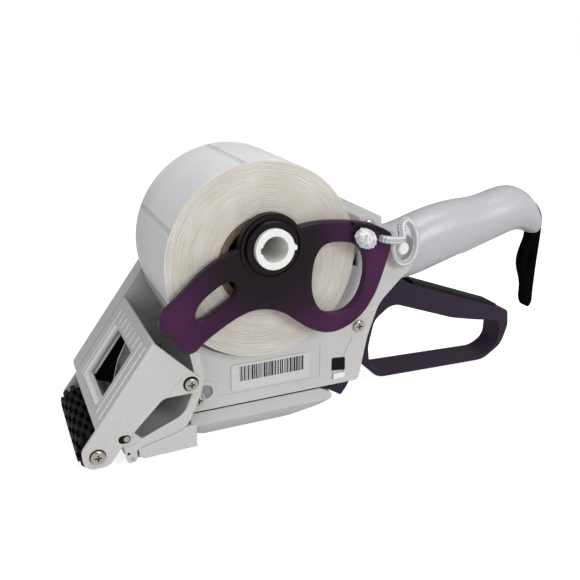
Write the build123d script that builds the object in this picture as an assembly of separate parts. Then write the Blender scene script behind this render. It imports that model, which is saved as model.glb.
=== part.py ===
# Hand-held label applicator with a roll of labels on its spindle.
# Millimetres. +X points from the nose to the handle, +Y to the gear case, +Z up.
# The origin lies on the flat underside of the bottom cover, straight below the roll's centre.
import os
from math import acos, atan2, cos, degrees, hypot, pi, radians, sin, sqrt, tan

from build123d import *

# label stock
label_width = 60.0
roll_radius = 50.0
core_inner = 20.0
core_wall = 3.4
roll_bottom = 48.0
roll_z = roll_bottom + roll_radius
web_thick = 0.3
rest_gap = 0.3  # between pieces that rest on each other but belong to different bodies

# spindle and roll guide
spindle_radius = 10.0
spindle_bore = 6.5
spindle_x = 1.0
spindle_overhang = 2.5  # the tube beyond the hub of the roll guide
spindle_key = 1.2
flange_radius = 31.0
flange_thick = 2.4
guide_gap = 3.9  # between the roll's face and the guide plate
guide_thick = 4.0
hub_radius = 16.5
hub_length = 8.5
running = 0.06  # radial clearance of a shaft that turns or slides in its hole

# body shell
skin = 2.4
near_inset = 8.0  # from the label's near edge to the near wall
far_margin = 4.4  # from the label's far edge to the far wall
case_depth = 12.0
lid_thick = 2.0
base_line = 18.5
floor_thick = 2.2
deck_gap = 3.0  # between the roll and the deck below it
column_front = roll_radius + 7.0
column_back = column_front + 13.0
column_top = roll_z + 15.0
screw_head = 3.3
screw_shank = 1.6
head_height = 1.7

# label bed: the line that its face follows, seen from the side
bed_thick = 1.5
rib_height = 3.0
rib_thick = 1.6
rib_gap = 0.1  # between the web's edge and each side rib
bed_points = [(-36.8, 57.0), (-33.8, 40.0), (-44.0, 17.6), (-72.0, 10.9)]
bed_radii = [25.0, 9.0]
peel_radius = 1.3
guide_bar_radius = 1.6
guide_bar = (-73.6, 18.2)

# nose cover
nose_low = (-87.8, 25.6)
nose_slope = 53.5
nose_length = 50.7
nose_skin = 2.2
cheek_thick = 1.6
cheek_gap = 0.3
nose_pivot = (-40.4, 41.4)
axle = (-88.0, 11.8)
axle_radius = 2.2
axle_thread = 1.2
axle_thread_depth = 6.0
press_radius = 9.4
press_hub = 5.0
press_teeth = 12
press_discs = 9
press_groove = 2.2
window_low, window_high = 10.0, 36.5
window_bevel = 1.4

# feed train
gear_module = 1.0
lever_pivot = (column_back - 11.5, 51.6)
feed_axis = (-30.0, 29.2)
feed_radius = 5.4
feed_shaft = 3.0
pinch_radius = 4.6
pinch_shaft = 1.5
sector_teeth, cluster_small, cluster_large, idler_teeth, pinion_teeth = 76, 14, 42, 28, 14
cluster_height = 46.0
gear_width = 2.6
gear_gap = 0.6
stud_radius = 2.0
backlash = 0.30
lever_travel = 18.0

# lever
lever_width = 16.0
pad_thick = 1.6
lever_shaft_radius = 3.0

# bottom cover and latch
cover_low = 0.0
cover_inset = 1.5
cover_setback = 2.4
cover_chine = 6.5  # how much narrower the flat underside is on each side
cover_skin = 2.0
cover_hinge = (-71.0, 5.1)
cover_hinge_radius = 1.0
cover_knuckle = 1.9
latch_pivot = (column_back - 24.0, 31.0)
latch_width = 26.0
ear_gap = 0.4
ear_thick = 1.8
latch_pin_radius = 1.3

# handle
handle_length = 130.0

# cord, knot, post and strap
cord_radius = 1.9
strap_width = 6.0

spindle_z = roll_z + core_inner - spindle_radius - rest_gap
half = label_width / 2
near_face = near_inset - half
far_face = half + far_margin
cover_near = near_face + cover_inset
cover_far = far_face - cover_setback
window_near = -label_width / 4
window_far = label_width / 4 + 1.0
cord_eye = (spindle_x + 60.2, spindle_z - 2.4)
bed_screw = (-34.6, 26.8)
bed_shank = 1.1
tab_thick = 2.0
boss_radius = 6.2
boss_height = 0.7
shaft_recess = 1.8
guide_round = 0.9
beyond = 4 * roll_radius  # past everything, for shapes that only cut
rib_inner = half + rib_gap
rib_outer = rib_inner + rib_thick
cheek_inner = rib_outer + cheek_gap
cheek_outer = cheek_inner + cheek_thick
case_back = far_face + case_depth
inner_near = near_face + skin
ear_near = inner_near + 4.0
ear_low = ear_near + ear_thick + latch_width + 2 * ear_gap
peel_reach = rib_inner + rib_thick / 2


# ---------------------------------------------------------------- helpers


def slab(sketch, y_low, y_high):
    """A side-view sketch (x, z) as a solid between two widths."""
    return extrude(Plane.XZ.offset(-y_high) * sketch, y_high - y_low, dir=(0, -1, 0))


def outline(*corners):
    """A closed side-view outline. Each corner is (x, z) or (x, z, radius)."""
    points = [corner[:2] for corner in corners]
    radii = [corner[2] if len(corner) > 2 else 0 for corner in corners]
    return make_face(FilletPolyline(*points, radius=radii, close=True))


def disc(centre, radius):
    return Pos(*centre) * Circle(radius)


def rod(centre, radius, y_low, y_high):
    """A cylinder along Y."""
    return slab(disc(centre, radius), y_low, y_high)


def tube(centre, radius, bore, y_low, y_high):
    return slab(disc(centre, radius) - disc(centre, bore), y_low, y_high)


def block(x_low, x_high, y_low, y_high, z_low, z_high):
    size = (x_high - x_low, y_high - y_low, z_high - z_low)
    middle = ((x_low + x_high) / 2, (y_low + y_high) / 2, (z_low + z_high) / 2)
    return Pos(*middle) * Box(*size)


def crossing(p, d, q, e):
    """Where the line through p along d meets the line through q along e."""
    t = ((q[0] - p[0]) * e[1] - (q[1] - p[1]) * e[0]) / (d[0] * e[1] - d[1] * e[0])
    return (p[0] + d[0] * t, p[1] + d[1] * t)


def unit(p, q):
    length = hypot(q[0] - p[0], q[1] - p[1])
    return ((q[0] - p[0]) / length, (q[1] - p[1]) / length)


def moved_by(origin, corners):
    """Corners given from an origin, as (x, z) or (x, z, radius), in the part's frame."""
    return [(origin[0] + c[0], origin[1] + c[1], *c[2:]) for c in corners]


def aft(corners):
    """Corners whose x is given from the back of the column."""
    return moved_by((column_back, 0), corners)


def smooth(points):
    """A closed face whose edge runs smoothly through the points."""
    return make_face(Spline(*points, periodic=True))


def outline_yz(*corners):
    return make_face(Polyline(*corners, close=True))


def shifted(points, radii, shift):
    """The same filleted path, moved sideways to its left by shift."""
    ways = [unit(p, q) for p, q in zip(points, points[1:])]
    sides = [(p[0] - d[1] * shift, p[1] + d[0] * shift) for p, d in zip(points, ways)]
    end = (points[-1][0] - ways[-1][1] * shift, points[-1][1] + ways[-1][0] * shift)
    moved, new_radii = [sides[0]], []
    for i in range(1, len(ways)):
        before, after = ways[i - 1], ways[i]
        moved.append(crossing(sides[i - 1], before, sides[i], after))
        left_turn = before[0] * after[1] - before[1] * after[0] > 0
        new_radii.append(radii[i - 1] + (-shift if left_turn else shift))
    return moved + [end], new_radii


def band(points, radii, low, high):
    """A strip of even thickness that follows a path, from offset low to offset high."""
    first, first_radii = shifted(points, radii, low)
    second, second_radii = shifted(points, radii, high)
    corners = first + second[::-1]
    rounds = [0] + first_radii + [0, 0] + second_radii[::-1] + [0]
    return make_face(FilletPolyline(*corners, radius=rounds, close=True))


def on_nose(along, depth=0.0):
    """A point of the nose's slope: along it, and deeper into the body."""
    a = radians(nose_slope)
    return (nose_low[0] + along * cos(a) + depth * sin(a), nose_low[1] + along * sin(a) - depth * cos(a))


def from_centre(centre, radius, angle):
    return (centre[0] + radius * cos(radians(angle)), centre[1] + radius * sin(radians(angle)))


def group(solids):
    return Compound(children=[s for s in solids])


def screw(centre, face, reach, side=-1, head=screw_head, shank=screw_shank):
    """A cross-recessed screw along Y. side is -1 where its head faces the near side."""
    top = face + side * head_height
    low, high = sorted((face, top))
    body = rod(centre, head, low, high)
    rim = [e for e in body.edges().filter_by(GeomType.CIRCLE) if abs(e.center().Y - top) < 0.01]
    body = fillet(rim, 0.7)
    body += rod(centre, shank, *sorted((face, face - side * reach)))
    cut_low, cut_high = sorted((top, top - side * 0.9))
    x, z = centre
    cross = slab(Pos(x, z) * (Rectangle(3.4, 0.8) + Rectangle(0.8, 3.4)), cut_low, cut_high)
    return body - cross


# ---------------------------------------------------------------- gears


def gear_face(teeth, phase, bore):
    """A spur gear's outline about the origin, with one tooth centred at the angle phase."""
    pitch = teeth * gear_module / 2
    tip, root = pitch + 0.85 * gear_module, pitch - 1.15 * gear_module
    base = pitch * cos(radians(20))
    spread = lambda a: tan(a) - a
    half_pitch = (pi * gear_module / 2 - backlash) / 2 / pitch

    def flank(radius):
        turn = spread(acos(base / max(radius, base)))
        return half_pitch + spread(radians(20)) - turn

    corners = []
    for i in range(teeth):
        centre = radians(phase) + 2 * pi * i / teeth
        for radius, side in ((root, -1), (pitch, -1), (tip, -1), (tip, 1), (pitch, 1), (root, 1)):
            wide = flank(radius)
            corners.append((radius * cos(centre + side * wide), radius * sin(centre + side * wide)))
    return make_face(Polyline(*corners, close=True)) - Circle(bore)


def angle_to(a, b):
    return degrees(atan2(b[1] - a[1], b[0] - a[0]))


def meshed_phase(a, teeth_a, phase_a, b, teeth_b):
    """The phase of gear b that puts its gap on gear a's tooth."""
    ahead = phase_a - angle_to(a, b)
    return angle_to(b, a) - ahead * teeth_a / teeth_b + 180 / teeth_b


def centre_distance(teeth_a, teeth_b):
    return (teeth_a + teeth_b) * gear_module / 2


cluster_drop = lever_pivot[1] - cluster_height
cluster_run = sqrt(centre_distance(sector_teeth, cluster_small) ** 2 - cluster_drop**2)
cluster_axis = (lever_pivot[0] - cluster_run, cluster_height)
near_leg = centre_distance(cluster_large, idler_teeth)
far_leg = centre_distance(idler_teeth, pinion_teeth)
span = hypot(feed_axis[0] - cluster_axis[0], feed_axis[1] - cluster_axis[1])
to_feed = unit(cluster_axis, feed_axis)
foot = (near_leg**2 - far_leg**2 + span**2) / (2 * span)
rise = sqrt(near_leg**2 - foot**2)
idler_axis = (
    cluster_axis[0] + foot * to_feed[0] + rise * to_feed[1],
    cluster_axis[1] + foot * to_feed[1] - rise * to_feed[0],
)

inner_layer = far_face + skin + gear_gap
outer_layer = inner_layer + gear_width + gear_gap
sector_phase = angle_to(lever_pivot, cluster_axis)
small_phase = meshed_phase(lever_pivot, sector_teeth, sector_phase, cluster_axis, cluster_small)
large_phase = angle_to(cluster_axis, idler_axis)
idler_phase = meshed_phase(cluster_axis, cluster_large, large_phase, idler_axis, idler_teeth)
pinion_phase = meshed_phase(idler_axis, idler_teeth, idler_phase, feed_axis, pinion_teeth)


def spur(centre, teeth, phase, bore, y_low):
    return slab(Pos(*centre) * gear_face(teeth, phase, bore), y_low, y_low + gear_width)


def make_sector_gear():
    pitch = sector_teeth * gear_module / 2
    x, z = lever_pivot
    middle = sector_phase - lever_travel / 2
    reach = lever_travel / 2 + 9
    wheel = Pos(x, z) * gear_face(sector_teeth, sector_phase, pitch - 5)
    wedge = ((5, 1), (60, 1), (60, -1), (5, -1))
    corners = [from_centre(lever_pivot, radius, middle + side * reach) for radius, side in wedge]
    rim = wheel & outline(*corners)
    arms = [
        Pos(x, z) * Rot(0, 0, middle + s * (reach - 4)) * Pos((pitch - 3) / 2, 0) * Rectangle(pitch - 3, 5)
        for s in (-1, 1)
    ]
    face = rim + arms[0] + arms[1] + disc(lever_pivot, 6.0) - disc(lever_pivot, lever_shaft_radius)
    return slab(face, outer_layer, outer_layer + gear_width)


def make_idler_cluster():
    large = spur(cluster_axis, cluster_large, large_phase, stud_radius + running, inner_layer)
    small = slab(
        Pos(*cluster_axis) * gear_face(cluster_small, small_phase, stud_radius + running),
        inner_layer + gear_width,
        outer_layer + gear_width,
    )
    for i in range(5):
        centre = from_centre(cluster_axis, 13.5, 72 * i)
        large -= rod(centre, 3.8, inner_layer, inner_layer + gear_width)
    return large + small


# ---------------------------------------------------------------- body


def case_outline():
    """The gear case seen from the side: its front edge lies in the nose's slope."""
    return outline(
        (*on_nose(0), 5),
        (*on_nose(84), 22),
        (spindle_x - 14, spindle_z + 14, 16),
        (spindle_x + 26, spindle_z + 14, 16),
        (column_back, column_top, 4),
        (column_back, 60, 12),
        (column_back - 10, base_line, 3),
        (-44, base_line, 20),
        (-80, base_line - 5, 5),
    )


def ahead_of_bed(depth=bed_thick + rest_gap):
    """Everything in front of a line that runs this deep behind the label bed's face."""
    points, radii = shifted(bed_points, bed_radii, depth)
    way = unit(points[1], points[0])
    start = (points[0][0] + 12 * way[0], points[0][1] + 12 * way[1])
    corners = [start] + points[1:] + [(-beyond, points[-1][1]), (-beyond, start[1])]
    return make_face(FilletPolyline(*corners, radius=[0] + radii + [0, 0, 0], close=True))


def make_deck():
    """The trough below the roll."""
    deck_radius = roll_radius + deck_gap
    roll_centre = (0, roll_z)
    ring = disc(roll_centre, deck_radius + skin) - disc(roll_centre, deck_radius)
    right = column_front + skin
    return ring & outline((-40, base_line), (right, base_line), (right, roll_z - 6), (0, roll_z), (-40, 65))


def make_column():
    """The upright behind the roll."""
    return outline(
        (column_front - 3.8, roll_z - 8),
        (column_front, roll_z + 4, 6),
        (column_front, column_top, 1),
        (column_back, column_top, 2),
        (column_back, 62),
        (column_back - skin, 62),
        (column_back - skin, column_top - skin),
        (column_front + skin, column_top - skin),
        (column_front + skin, roll_z + 4, 6),
        (column_front - 1.4, roll_z - 9),
    )


def make_main_frame():
    outer = case_outline()
    frame = slab(outer, far_face, far_face + skin)
    frame += slab(outer - offset(outer, amount=-skin), far_face + skin, case_back)
    floor_top = base_line + floor_thick
    sole = outline(
        (-44, base_line),
        (column_back - 11, base_line),
        (column_back - 10.6, floor_top),
        (-44, floor_top),
    )
    frame += slab(make_deck() - ahead_of_bed(), inner_near, far_face)
    frame += slab(sole - ahead_of_bed(), inner_near, far_face)
    frame += slab(make_column(), inner_near, far_face)
    back = band(aft([(-10.4, base_line), (-5.4, 44.0), (0, 62.5)]), [30], 0, skin)
    frame += slab(back, inner_near, far_face)
    # openings: lever slot, pinch roller slot, latch slot
    slot_half = lever_width / 2 + 1.4
    floor_low, floor_high = base_line - 1, floor_top + 0.1
    latch_x = latch_pivot[0]
    frame -= block(column_back - 13, column_back + 3, -slot_half, slot_half, floor_low, 78)
    frame -= block(feed_axis[0] - 8, feed_axis[0] + 9, inner_near - 1, half + 2, floor_low, floor_high)
    frame -= block(latch_x - 9, latch_x + 14.0, inner_near - 1, ear_low, floor_low, floor_high)
    # bosses for the pivot shaft, feed shaft and gear studs
    wall_back = far_face + skin
    frame += rod(lever_pivot, 7, far_face - 4, far_face)
    frame += rod(feed_axis, 5.2, far_face - 2, far_face)
    frame -= rod(lever_pivot, lever_shaft_radius + running, far_face - 5, wall_back + 1)
    frame -= rod(feed_axis, feed_shaft + 1.5, far_face - 3, wall_back + 1)
    for centre in (cluster_axis, idler_axis):
        frame -= rod(centre, stud_radius, far_face - 1, wall_back + 1)
    # ears that carry the latch pin
    foot = floor_top - 0.2
    for y in (ear_near, ear_low):
        ear = outline(
            *moved_by((latch_x, 0), [(-6, foot), (-6, latch_pivot[1], 4)]),
            *moved_by(latch_pivot, [(-2, 5.5, 4), (4, 5.5, 4)]),
            *moved_by((latch_x, 0), [(6, latch_pivot[1], 4), (6, foot)]),
        )
        frame += slab(ear, y, y + ear_thick) - rod(latch_pivot, latch_pin_radius, y - 1, y + 3)
    frame += block(latch_x - 9.5, latch_x - 6, ear_near, far_face, foot, floor_top + 3)
    # bosses of the lid's screws, hole of the far nose pivot
    for centre in lid_screws:
        frame += rod(centre, 3.2, wall_back - 0.5, case_back)
        frame -= rod(centre, screw_shank, wall_back, case_back + 1)
    frame -= rod(nose_pivot, screw_shank, far_face - 1, wall_back + 1)
    # socket of the spindle flange
    frame -= rod((spindle_x, spindle_z), spindle_bore - 0.5, far_face - 1, wall_back + 1)
    return frame


def near_outline():
    plate = outline(
        (-36.0, 57.5),
        (-38.0, base_line),
        *aft(
            [
                (-10.4, base_line, 3),
                (-5.6, 44.0, 40),
                (1.0, 63.0, 20),
                (14.0, 75.5, 12),
                (22.0, 82.0, 8),
                (20.5, 98.5, 6),
                (10.0, 102.0, 12),
                (0.4, 105.5, 3),
            ]
        ),
        (column_back, column_top, 2),
        (column_front, column_top, 1),
        (column_front, roll_z - 12),
        (0, roll_z),
        (-36.0, 80),
    )
    return plate - disc((0, roll_z), roll_radius + deck_gap) - ahead_of_bed()


def make_side_cover():
    cover = slab(near_outline(), near_face, inner_near)
    # boss round the end of the feed shaft, with the bush deep in it
    cover += rod(feed_axis, boss_radius, near_face - boss_height, near_face)
    cover += rod(feed_axis, boss_radius, inner_near, inner_near + 1.0)
    cover -= rod(feed_axis, feed_shaft + 1.0, near_face - 1, inner_near + 2)
    # shallow field for the sticker, groove that runs up from the latch window
    cover -= block(-25, 35.5, near_face, near_face + 0.3, 25, 45)
    groove = band(moved_by(latch_pivot, [(2.0, 5.0), (7.4, 15.2)]), [], -2.1, 2.1)
    cover -= slab(groove, near_face, near_face + 0.4)
    # window of the latch and the step below it
    hole = [(-3.4, 3.9, 1), (5.0, 3.1, 1), (5.2, -5.2, 1), (-3.4, -4.2, 1)]
    window = outline(*moved_by(latch_pivot, hole))
    step = outline(*moved_by(latch_pivot, [(-3.2, -3.0), (4.4, -4.0), (4.2, -9.0, 1), (-3.2, -9.4, 1)]))
    cover -= slab(window, near_face - 1, inner_near + 1)
    cover -= slab(step, near_face, near_face + 0.9)
    for centre in cover_screw_points:
        cover -= rod(centre, screw_shank, near_face - 1, inner_near + 1)
    cover -= rod(bed_screw, bed_shank, near_face - 1, inner_near + 1)
    cover += rod(lever_pivot, 5.2, inner_near, inner_near + 4)
    cover -= rod(lever_pivot, lever_shaft_radius + running, inner_near, inner_near + 5)
    return cover


def make_gear_cover():
    lid = slab(case_outline(), case_back, case_back + lid_thick)
    lid = fillet(lid.edges().group_by(Axis.Y)[-1], 1.2)
    raised = outline(
        (-62, 30, 8),
        (-30, 84, 16),
        (column_back - 20, 84, 14),
        (column_back - 12, 40, 16),
        (column_back - 20, 26, 8),
        (-50, 26, 10),
    )
    step = slab(raised, case_back + lid_thick, case_back + lid_thick + 1.4)
    lid += fillet(step.edges().group_by(Axis.Y)[-1], 1.1)
    for centre in lid_screws:
        lid -= rod(centre, screw_shank, case_back - 1, case_back + lid_thick + 2)
    return lid


lid_screws = [
    (-66, 26),
    (-38, 84),
    (12, spindle_z + 6.3),
    (column_back - 8, column_top - 8),
    (column_back - 13, 24),
]
cover_screw_points = [lever_pivot, (column_back - 7.5, column_top - 5.0)]


def make_lid_screws():
    return group([screw(c, case_back + lid_thick, 6, side=1, head=2.6) for c in lid_screws])


def make_cover_screws():
    return group([screw(centre, near_face, 2.3) for centre in cover_screw_points])


def make_bed_screw():
    face = near_face - boss_height - tab_thick
    return screw(bed_screw, face, inner_near - face, head=3.0, shank=bed_shank)


def make_handle():
    # share of the handle's length, lowest z, highest z, half width
    stations = [
        (0, 66.4, 104.4, 18.2),
        (0.06, 67.4, 100.9, 17.6),
        (0.14, 67.4, 100.8, 16.4),
        (0.23, 67.8, 104.2, 15.4),
        (0.35, 71.4, 108.6, 14.6),
        (0.48, 76.2, 111.0, 14.0),
        (0.60, 80.9, 112.0, 13.8),
        (0.72, 85.8, 115.6, 14.0),
        (0.80, 88.4, 115.4, 14.0),
        (0.86, 87.4, 111.8, 13.6),
        (0.92, 84.8, 107.4, 12.8),
        (1, 83.6, 103.4, 11.8),
    ]
    rings = []
    for share, low, high, wide in stations:
        middle = (column_back + share * handle_length, 0, (low + high) / 2)
        ring_plane = Plane(origin=middle, x_dir=(0, 1, 0), z_dir=(1, 0, 0))
        rings.append(ring_plane * Ellipse(wide, (high - low) / 2))
    grip = loft(rings)
    # slanted end
    top, low = aft([(handle_length - 16.4, 106.6), (handle_length - 7.9, 88.0)])
    way = unit(top, low)
    ahead, below = 40 * way[0], 40 * way[1]
    beyond_end = outline(
        (top[0] - ahead, top[1] - below),
        (low[0] + ahead, low[1] + below),
        (low[0] + beyond, low[1] + below),
        (top[0] + beyond, top[1] - below),
    )
    grip -= slab(beyond_end, -beyond, beyond)
    end_face = grip.faces().sort_by(Axis.X)[-1]
    grip = fillet(end_face.edges(), 2.0)
    slot = outline(*aft([(-1, 60), (70, 60), (72, 78.6, 3), (50, 82, 4), (-1, 81)]))
    grip -= slab(slot, -lever_width / 2 - 1, lever_width / 2 + 1)
    return grip


# ---------------------------------------------------------------- label path


def make_label_bed():
    bed = slab(band(bed_points, bed_radii, 0, bed_thick), -rib_outer, rib_outer)
    pivot_x, pivot_z = nose_pivot
    ear = disc(nose_pivot, 5.0)
    ear += outline((pivot_x, pivot_z - 5), (-34, pivot_z - 5), (-34, pivot_z + 5), (pivot_x, pivot_z + 5))
    # the front lug holds the guide bar, the peel bar and the hinge of the bottom cover
    lug = outline(
        (-64, 13.2),
        (-69.5, 19.6, 1.5),
        (-74.8, 20.8, 1.8),
        (-76.0, 16.0, 2),
        (-73.6, 3.1, 1.9),
        (-69.0, 3.1, 1.9),
        (-68.6, 9.8, 1),
        (-64.0, 12.0),
    )
    rib = band(bed_points, bed_radii, -rib_height, bed_thick)
    for side in (-1, 1):
        low, high = sorted((side * rib_inner, side * rib_outer))
        side_rib = slab(rib + ear + lug, low, high)
        side_rib -= rod(nose_pivot, screw_shank, low - 1, high + 1)
        side_rib -= rod(guide_bar, guide_bar_radius, low - 1, high + 1)
        side_rib -= rod(cover_hinge, cover_hinge_radius, low - 1, high + 1)
        bed += side_rib
    bed -= rod(peel_axis, peel_radius, -peel_reach, peel_reach)
    # tab behind the near rib that takes the bed's screw
    x, z = bed_screw
    tab = disc(bed_screw, 3.8) + Pos(x - 3, z) * Rectangle(6, 7.6) - ahead_of_bed(0.4)
    tab_low, tab_high = near_face - boss_height - tab_thick, near_face - boss_height
    bed += slab(tab, tab_low, tab_high)
    spacer = disc(bed_screw, 2.6) - disc(feed_axis, boss_radius)
    bed += slab(spacer, tab_high, near_face)
    bed -= rod(bed_screw, bed_shank, tab_low - 1, near_face + 1)
    return bed


bed_way = unit(bed_points[-2], bed_points[-1])
web_gap = rest_gap
wrap = peel_radius + web_gap + web_thick / 2
web_offset = -(web_gap + web_thick / 2)
past_bed = (bed_points[-1][0] + 1.7 * bed_way[0], bed_points[-1][1] + 1.7 * bed_way[1])
# the bar's axis: as far inside the web's line as the web's middle wraps round it
peel_axis = (
    past_bed[0] - bed_way[1] * (web_offset + wrap),
    past_bed[1] + bed_way[0] * (web_offset + wrap),
)
nip_z = feed_axis[1] - feed_radius - rest_gap - web_thick / 2
pinch_axis = (feed_axis[0], nip_z - web_thick / 2 - rest_gap - pinch_radius)
tail_aim = (-46.0, 11.6)  # the web's tail heads for this point after the peel bar
tail_run = 26.0
tail_end = (-41.6, 17.0)


def web_path():
    """The middle of the backing paper: roll, bed, round the peel bar and back under the bed."""
    line, radii = shifted(bed_points, bed_radii, web_offset)
    entry = line[0]
    reach = roll_radius + web_gap + web_thick / 2
    away = hypot(entry[0], entry[1] - roll_z)
    swing = degrees(acos(reach / away))
    start = from_centre((0, roll_z), reach, degrees(atan2(entry[1] - roll_z, entry[0])) - swing)
    way = unit(peel_axis, tail_aim)
    tip_x = peel_axis[0] - wrap
    top_corner = crossing(line[-1], bed_way, (tip_x, 0), (0, 1))
    under = (peel_axis[0] + way[1] * wrap, peel_axis[1] - way[0] * wrap)
    low_corner = crossing(under, way, (tip_x, 0), (0, 1))
    bend = (under[0] + way[0] * tail_run, under[1] + way[1] * tail_run)
    points = [start, entry] + line[1:-1] + [top_corner, low_corner, bend, tail_end]
    rounds = [20] + radii + [wrap, wrap, 4]
    return points, rounds


def make_label_web():
    points, rounds = web_path()
    return slab(band(points, rounds, -web_thick / 2, web_thick / 2), -half, half)


def make_label_roll():
    return tube((0, roll_z), roll_radius, core_inner + core_wall, -half, half)


def make_label_core():
    return tube((0, roll_z), core_inner + core_wall, core_inner, -half, half)


def make_spindle_tube():
    centre = (spindle_x, spindle_z)
    end = -half - guide_gap - hub_length + 2.0 - spindle_overhang
    face = disc(centre, spindle_radius) - disc(centre, spindle_bore)
    face += Pos(spindle_x + spindle_radius, spindle_z) * Rectangle(2 * spindle_key, 2.4)
    notch = Pos(spindle_x - spindle_bore, spindle_z) * Rectangle(1.6, 3.0)
    body = slab(face, end, far_face - flange_thick)
    return body - slab(notch, end - 1, end + 12)


def make_spindle_flange():
    centre = (spindle_x, spindle_z)
    plate = rod(centre, flange_radius, far_face - flange_thick, far_face)
    return plate - rod(centre, spindle_bore, far_face - 10, far_face + 1)


# outline, eye, slit and lip of the roll guide, from the spindle's centre
guide_rim = [
    (13.1, 8.0),
    (23.6, 9.7),
    (37.2, 9.0),
    (52.4, 6.3),
    (62.6, 2.0),
    (66.6, -1.7),
    (66.6, -6.7),
    (64.1, -15.6),
    (59.2, -29.8),
    (52.4, -40.8),
    (43.3, -47.5),
    (32.6, -49.8),
    (23.8, -47.3),
    (13.7, -40.5),
    (5.5, -34.5),
    (-2.5, -31.7),
    (-10.3, -31.5),
    (-18.1, -34.0),
    (-28.4, -39.7),
    (-36.0, -45.1),
    (-40.6, -48.4),
    (-43.6, -48.5),
    (-46.4, -45.9),
    (-51.4, -38.7),
    (-56.2, -32.7),
    (-55.6, -29.1),
    (-47.2, -20.0),
    (-37.3, -11.0),
    (-26.4, -3.6),
    (-13.5, 1.7),
    (-0.5, 5.3),
]
guide_eye = [
    (40.4, -2.3),
    (34.4, -1.5),
    (28.2, -2.6),
    (24.0, -7.6),
    (21.9, -17.2),
    (22.0, -25.1),
    (24.2, -32.4),
    (28.6, -37.7),
    (34.8, -39.5),
    (41.6, -38.3),
    (47.2, -33.7),
    (50.6, -26.4),
    (51.8, -18.3),
    (50.9, -11.1),
    (47.0, -5.3),
]
guide_slit = [
    (-38.6, -29.1),
    (-37.2, -25.5),
    (-32.8, -20.7),
    (-27.0, -16.8),
    (-21.9, -14.8),
    (-18.6, -16.1),
    (-17.7, -19.3),
    (-19.3, -22.5),
    (-23.4, -25.7),
    (-29.1, -29.2),
    (-34.4, -32.1),
    (-37.7, -32.0),
]
guide_lip = [
    (43.0, 8.7),
    (56.0, 5.5),
    (64.4, 1.2),
]


def make_roll_guide():
    centre = (spindle_x, spindle_z)
    back = -half - guide_gap
    front = back - guide_thick
    rim = smooth(moved_by(centre, guide_rim))
    openings = smooth(moved_by(centre, guide_eye)) + smooth(moved_by(centre, guide_slit))
    plate = slab(rim - openings, front, back)
    plate = fillet(plate.edges().group_by(Axis.Y)[0], guide_round)
    lip = band(moved_by(centre, guide_lip), [22], -2.2, -0.5)
    plate += slab(lip, front - 1.8, front + 1)
    plate += rod(centre, hub_radius, front, back)
    hub_face = front - (hub_length - guide_thick - 2.0)
    hub = rod(centre, hub_radius - 3.0, hub_face, back + 2.0)
    plate += fillet(hub.edges().group_by(Axis.Y)[0], 1.0)
    plate += tube(centre, hub_radius - 0.6, hub_radius - 2.0, front - 1.0, front + 0.2)
    plate -= rod(centre, spindle_radius + running, hub_face - 1, back + 5)
    key = Pos(spindle_x + spindle_radius, spindle_z) * Rectangle(2 * spindle_key + 0.4, 2.8)
    plate -= slab(key, hub_face - 1, back + 5)
    plate -= rod(cord_eye, cord_radius + 0.15, front - 5, back + 1)
    return plate




# ---------------------------------------------------------------- nose


def nose_side():
    return outline(
        (*on_nose(nose_length), 0.8),
        (*on_nose(0), 6),
        (-95.4, 15.6, 6),
        (-94.8, 5.4, 5.6),
        (-83.0, 5.2, 6),
        (-74.6, 16.2, 1),
        (-54.4, 36.2, 6),
        (-35.0, 36.2, 4.2),
        (-35.2, 43.0, 4.0),
    )


def on_nose_box(low, high, shallow, deep):
    """Four corners of a side-view block that lies along the nose's slope."""
    return [on_nose(low, shallow), on_nose(high, shallow), on_nose(high, deep), on_nose(low, deep)]


def make_nose_cover():
    cover = slab(nose_side(), -cheek_outer, cheek_outer)
    lower, upper = on_nose(-40, nose_skin), on_nose(nose_length + 20, nose_skin)
    hollow = outline(lower, upper, (0, 60), (0, -20), (-110, -20))
    cover -= slab(hollow, -cheek_inner, cheek_inner)
    mouth = outline(on_nose(0, -10), on_nose(0, 10), (-80, -10), (-120, -10), (-120, 30))
    cover -= slab(mouth, -cheek_inner, cheek_inner)
    # window, with its edges sloped on the outside
    opening = outline(*on_nose_box(window_low, window_high, -2, nose_skin + 2))
    cover -= slab(opening, window_near, window_far)
    slope = radians(nose_slope)
    face = Plane(
        origin=(nose_low[0], 0, nose_low[1]),
        x_dir=(cos(slope), 0, sin(slope)),
        z_dir=(-sin(slope), 0, cos(slope)),
    )
    middle = ((window_low + window_high) / 2, -(window_near + window_far) / 2)
    size = (window_high - window_low, window_far - window_near)
    outside = Pos(*middle) * Rectangle(size[0] + 2 * window_bevel, size[1] + 2 * window_bevel)
    inside = Pos(*middle) * Rectangle(*size)
    cover -= loft([face.offset(0.01) * outside, face.offset(-window_bevel) * inside])
    notch = disc(guide_bar, guide_bar_radius + 0.5)
    notch += Pos(*guide_bar) * Rot(0, 0, -54.8) * Pos(4, 0) * Rectangle(8, 2 * guide_bar_radius + 1)
    for side in (-1, 1):
        low, high = sorted((side * (cheek_inner - 1), side * (cheek_outer + 1)))
        cover -= rod(nose_pivot, screw_shank + running, low, high)
        cover -= rod(axle, axle_radius, low, high)
        cover -= slab(notch, low, high)
    return cover


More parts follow.
